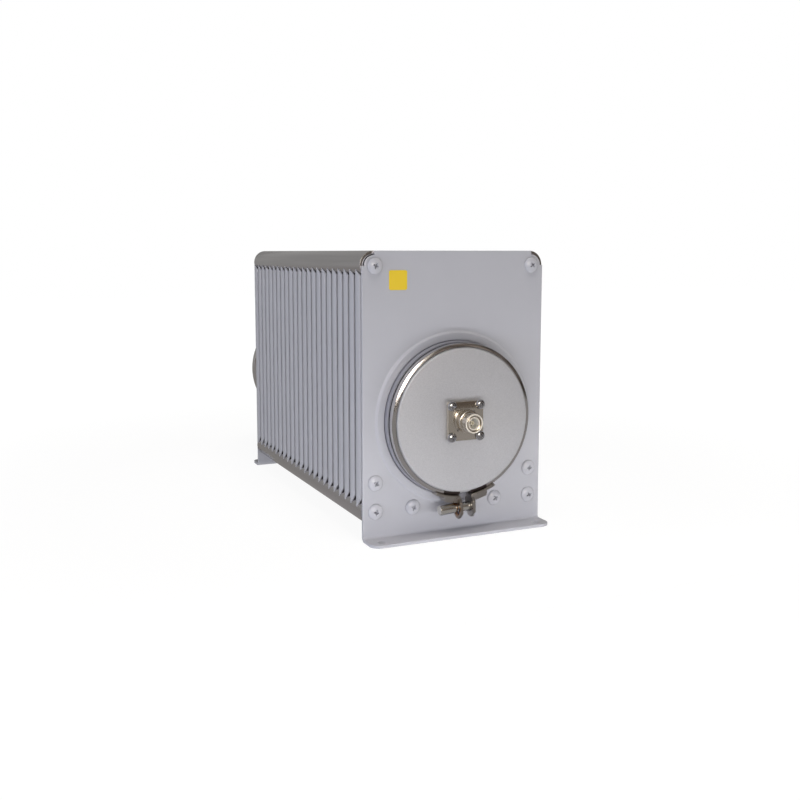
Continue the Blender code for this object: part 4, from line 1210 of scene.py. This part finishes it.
FLANGE_SCREW = 12.7 * MM
jack_screw_places = [(side * FLANGE_SCREW, AXIS_Z + level * FLANGE_SCREW)
                     for level in (1, -1) for side in (-1, 1)]
pan_head = screw_head(4.1 * MM, 2.7 * MM, 1.7 * MM, 2.1 * MM, 1.0 * MM, 1.9 * MM)
make_screws("jack_screw", jack_screw_places, FLANGE_FACE - SEAT, pan_head, (1.9 * MM, 6.4 * MM), screw_steel,
            "bright_steel", [0.3, 0.8, 0.1, 1.1])
print("flange screws", 2 * FLANGE_SCREW / MM, "mm apart")

# %% [markdown]
# ## Rear cover
#
# The rear of the tank is closed by a domed steel cover over the diaphragm, with a vent plug in its middle.
# The dome's wall follows a smooth curve from the rim to its flat middle.

# %% Make the rear cover and its plug
PLUG_BORE = 6.0 * MM
DOME_FLAT = 30.0 * MM
DOME_WALL = 1.6 * MM
DOME_FOOT = 56.4 * MM
DOME_SEAT = 58.3 * MM
DOME_INSIDE = 51.4 * MM
PLUG_SHANK = 5.7 * MM
PLUG_HEX = 9.5 * MM


def dome_profile():
    """Outside, the height falls from the flat to the rim along half a cosine wave; inside, the same wave."""
    share = np.linspace(0.0, 1.0, 17)
    fall = (1 + np.cos(np.pi * share)) / 2
    rim_y = dome_low.y
    rise = (dome_high.y - rim_y - DOME_WALL) * fall
    outer = np.stack([rim_y + DOME_WALL + rise, DOME_FLAT + (DOME_FOOT - DOME_FLAT) * share], axis=1)
    inner = np.stack([rim_y + rise, DOME_FLAT + (DOME_INSIDE - DOME_FLAT) * share], axis=1)[::-1]
    rim = [(rim_y + RIM_WIDTH, DOME_SEAT), (rim_y + RIM_WIDTH, RIM_RADIUS), (rim_y, RIM_RADIUS)]
    return np.concatenate([[(dome_high.y, PLUG_BORE)], outer, rim, inner,
                           [(dome_high.y - DOME_WALL, PLUG_BORE)]])


turned_piece("rear_dome", dome_profile(), dark_coat, "dark_paint", ["rear_cover"], sides=128)

plug_low, plug_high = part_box("vent_plug")
head_y = dome_high.y + SEAT
hexagon = np.radians(np.arange(0, 360, 5))
hex_radius = PLUG_HEX * np.cos(np.pi / 6) / np.cos((hexagon - np.pi / 6) % (np.pi / 3) - np.pi / 6)


def plug_grid():
    """Rows from the shank's end to the middle of the head: round below the head, hexagonal above."""
    rows = []
    for y, share, reach in ((plug_low.y, 0, 0.0), (plug_low.y, 0, PLUG_SHANK), (head_y, 0, PLUG_SHANK),
                            (head_y, 1, 1.0), (plug_high.y - 0.8 * MM, 1, 1.0), (plug_high.y, 1, 0.9),
                            (plug_high.y, 0, 4.0 * MM), (plug_high.y, 0, 0.0)):
        radius = share * reach * hex_radius + (1 - share) * reach
        x, z = radius * np.cos(hexagon), AXIS_Z + radius * np.sin(hexagon)
        rows.append(np.stack([x, np.full(len(hexagon), y), z], axis=1))
    return np.stack(rows)


plug_mesh = mesh_from_grids("vent_plug", [(plug_grid(), False, True)])
solid_piece("vent_plug_hexagon", plug_mesh, jack_nickel, "nickel_plate", ["vent_plug"])
print("rear cover rises", round((dome_high.y - dome_low.y) / MM, 1), "mm")

# %% [markdown]
# ## Floor
#
# The object stands on a white sweep in a studio. The floor and the world are plain white to the camera and
# in reflections. Near the object the floor mixes in a little of its own shading, which keeps a soft shadow.

# %% Make the floor
FLOOR_SIZE = 8.0
SHADOW_NEAR = 0.30
SHADOW_FAR = 0.90
SHADOW_SHARE = 0.12
FLOOR_GLOW = 0.6
FLOOR_WHITE = 1.05
WHITE = (1.0, 1.0, 1.0, 1.0)


def white_rays(tree):
    """One for rays from the camera, a mirror or glass, and zero for the light that falls on dull surfaces."""
    rays = add_node(tree, "ShaderNodeLightPath")
    seen = add_node(tree, "ShaderNodeMath",
                    {0: rays.outputs["Is Camera Ray"], 1: rays.outputs["Is Glossy Ray"]},
                    operation="ADD", use_clamp=True)
    return add_node(tree, "ShaderNodeMath", {0: seen.outputs[0], 1: rays.outputs["Is Transmission Ray"]},
                    operation="ADD", use_clamp=True).outputs[0]


def white_floor():
    """White paper: its own light to the camera, with a share of its shading near the object."""
    finish, tree, shader, place = new_finish("white_sweep", roughness=0.9)
    shader.inputs["Base Color"].default_value = hex_colour("#f4f4f4")
    grain = add_node(tree, "ShaderNodeTexNoise", {"Vector": place}, {"Scale": 30.0})
    tone = add_node(tree, "ShaderNodeMapRange", {"Value": grain.outputs["Fac"]},
                    {"To Min": 0.88, "To Max": 0.92})
    join(tree, tone.outputs["Result"], shader, "Roughness")
    glow = add_node(tree, "ShaderNodeEmission", inputs={"Color": WHITE, "Strength": FLOOR_WHITE})
    apart = add_node(tree, "ShaderNodeVectorMath", {0: place}, operation="LENGTH")
    share = add_node(tree, "ShaderNodeMapRange", {"Value": apart.outputs["Value"]},
                     {"From Min": SHADOW_NEAR, "From Max": SHADOW_FAR,
                      "To Min": 1 - SHADOW_SHARE, "To Max": 1.0})
    seen = add_node(tree, "ShaderNodeMapRange",
                    {"Value": white_rays(tree), "To Max": share.outputs["Result"]}, {"To Min": FLOOR_GLOW})
    mixed = add_node(tree, "ShaderNodeMixShader",
                     {0: seen.outputs["Result"], 1: shader.outputs["BSDF"], 2: glow.outputs["Emission"]})
    join(tree, mixed.outputs["Shader"], tree.nodes["Material Output"], "Surface")
    return finish


corner = FLOOR_SIZE / 2
floor_mesh = bpy.data.meshes.new("floor")
floor_mesh.from_pydata([(-corner, -corner, 0), (corner, -corner, 0),
                        (corner, corner, 0), (-corner, corner, 0)], [], [(0, 1, 2, 3)])
floor_mesh.materials.append(white_floor())
floor = bpy.data.objects.new("floor", floor_mesh)
bpy.context.scene.collection.objects.link(floor)
print("floor", FLOOR_SIZE, "m wide")

# %% [markdown]
# ## Cards
#
# Bright metal shows the room more than the lamps. Cards stand round the object, lie under it and hang over
# it. They show only in reflections and neither block nor give light. The walls are dim and mottled like a
# blurred room, darker in front and on the right and lighter at the left, where the window is. In front at
# the left a pale card stands for the window and a small bright one for the lamp: they put the cream spots on
# the jack's barrel and the white streak on the clamp.

# %% Hang the cards
CARD_REACH = 2.2
CARD_LIFT = 0.5 * MM
ROOM_HEIGHT = 2.0
MOTTLE = 0.5
MOTTLE_RANGE = (0.42, 0.58)


def studio_card(name, dark, light, corners, strength=1.0):
    """A four-cornered card that only reflections show, mottled from dark to light like a blurred room."""
    finish, tree, shader, place = new_finish(name)
    shapes = add_node(tree, "ShaderNodeTexNoise", {"Vector": place}, {"Scale": 1 / MOTTLE, "Detail": 1.0})
    ramp = add_node(tree, "ShaderNodeValToRGB", {"Fac": shapes.outputs["Fac"]})
    for element, position, colour in zip(ramp.color_ramp.elements, MOTTLE_RANGE, (dark, light)):
        element.position = position
        element.color = hex_colour(colour)
    glow = add_node(tree, "ShaderNodeEmission", {"Color": ramp.outputs["Color"]}, {"Strength": strength})
    join(tree, glow.outputs["Emission"], tree.nodes["Material Output"], "Surface")
    mesh = bpy.data.meshes.new(name)
    mesh.from_pydata(corners, [], [(0, 1, 2, 3)])
    mesh.materials.append(finish)
    card = bpy.data.objects.new(name, mesh)
    card.visible_camera = False
    card.visible_diffuse = False
    card.visible_shadow = False
    bpy.context.scene.collection.objects.link(card)


def upright_corners(left, right, bottom, top, y):
    """The corners of a card that stands across the view, from its lower left one."""
    return [(left, y, bottom), (right, y, bottom), (right, y, top), (left, y, top)]


room_corners = [(CARD_REACH * x, CARD_REACH * y) for x, y in ((-1, -1), (1, -1), (1, 1), (-1, 1))]
wall_tones = {"front_card": ("#4c443e", "#8a8078"), "right_card": ("#352f2b", "#6a625c"),
              "back_card": ("#92918f", "#9a9997"), "left_card": ("#98989c", "#d2d2d8")}
for (name, tones), start, end in zip(wall_tones.items(), room_corners, room_corners[1:] + room_corners[:1]):
    studio_card(name, *tones, [(*start, 0.0), (*end, 0.0), (*end, ROOM_HEIGHT), (*start, ROOM_HEIGHT)])
studio_card("ceiling_card", "#74716f", "#7a7775", [(x, y, ROOM_HEIGHT) for x, y in room_corners])
studio_card("table_card", "#8a8784", "#949190", [(x, y, CARD_LIFT) for x, y in room_corners])
studio_card("window_card", "#cfc6ba", "#e8e0d4", upright_corners(-1.7, 0.3, 0.3, 1.7, FRONT_FACE - 1.9))
studio_card("key_card", "#fff0e0", "#fff8f0", upright_corners(-0.8, 0.0, 0.3, 1.1, FRONT_FACE - 1.88),
            strength=7.0)
print(len(wall_tones) + 4, "cards")

# %% [markdown]
# ## World and lamps
#
# The world lights dull surfaces like a pale room, a little brighter and cooler near the horizon, and is white
# to the camera and in reflections. Four lamps add to it: a soft key from the front, a long low one close to
# the table that lights the plate's lower half under the cover, a bluish one that grazes the fins from the
# left, and one overhead for the foot and the bars. Metal mirrors the cards in their place.

# %% Light the scene
ROOM_LIGHT = 0.26
ROOM_LOW = (0.97, 0.98, 1.0, 1.0)
ROOM_HIGH = (0.85, 0.84, 0.83, 1.0)

world = bpy.data.worlds.new("studio")
bpy.context.scene.world = world
world.use_nodes = True
tree = world.node_tree
direction = add_node(tree, "ShaderNodeTexCoord").outputs["Generated"]
height = add_node(tree, "ShaderNodeSeparateXYZ", {"Vector": direction}).outputs["Z"]
ramp = add_node(tree, "ShaderNodeValToRGB", {"Fac": height})
for element, position, colour in zip(ramp.color_ramp.elements, (0.1, 0.8), (ROOM_LOW, ROOM_HIGH)):
    element.position = position
    element.color = colour
room = tree.nodes["Background"]
join(tree, ramp.outputs["Color"], room, "Color")
room.inputs["Strength"].default_value = ROOM_LIGHT
backdrop = add_node(tree, "ShaderNodeBackground", inputs={"Color": WHITE, "Strength": 1.0})
sky = add_node(tree, "ShaderNodeMixShader", {0: white_rays(tree), 1: room.outputs["Background"],
                                             2: backdrop.outputs["Background"]})
join(tree, sky.outputs["Shader"], tree.nodes["World Output"], "Surface")


def softbox(name, place, target, size, power, colour):
    """A lamp of (width, height) that looks from its place at a target, and that nothing mirrors."""
    lamp = bpy.data.lights.new(name, "AREA")
    lamp.shape = "RECTANGLE"
    lamp.size, lamp.size_y = size
    lamp.energy = power
    lamp.color = hex_colour(colour)[:3]
    box = bpy.data.objects.new(name, lamp)
    box.location = place
    box.rotation_euler = (Vector(target) - Vector(place)).to_track_quat("-Z", "Y").to_euler()
    box.visible_camera = False
    box.visible_glossy = False
    bpy.context.scene.collection.objects.link(box)
    print(name, "at", [round(value, 2) for value in place])


plate_middle = (0.0, FRONT_FACE, PLATE_TOP / 2)
softbox("key_softbox", (-0.4, FRONT_FACE - 1.86, 0.70), plate_middle, (0.32, 0.32), 1.9, "#fff8f0")
softbox("table_softbox", (0.0, FRONT_FACE - 0.18, 0.012), (0.0, FRONT_FACE, 0.06), (0.45, 0.02), 0.255,
        "#fcfcff")
softbox("left_softbox", (-1.2, FRONT_FACE - 0.3, 0.10), (0.0, FRONT_FACE, 0.08), (0.4, 0.2), 3.9, "#dce5ff")
softbox("top_softbox", (-0.05, FRONT_FACE - 0.25, 1.2), (0.0, FRONT_FACE, 0.0), (0.4, 0.4), 6.0, "#fffaf4")

# %% [markdown]
# ## Close the lesson
#
# The colours are shown with Blender's Standard view transform.

# %% Set the view transform
bpy.context.scene.view_settings.view_transform = "Standard"
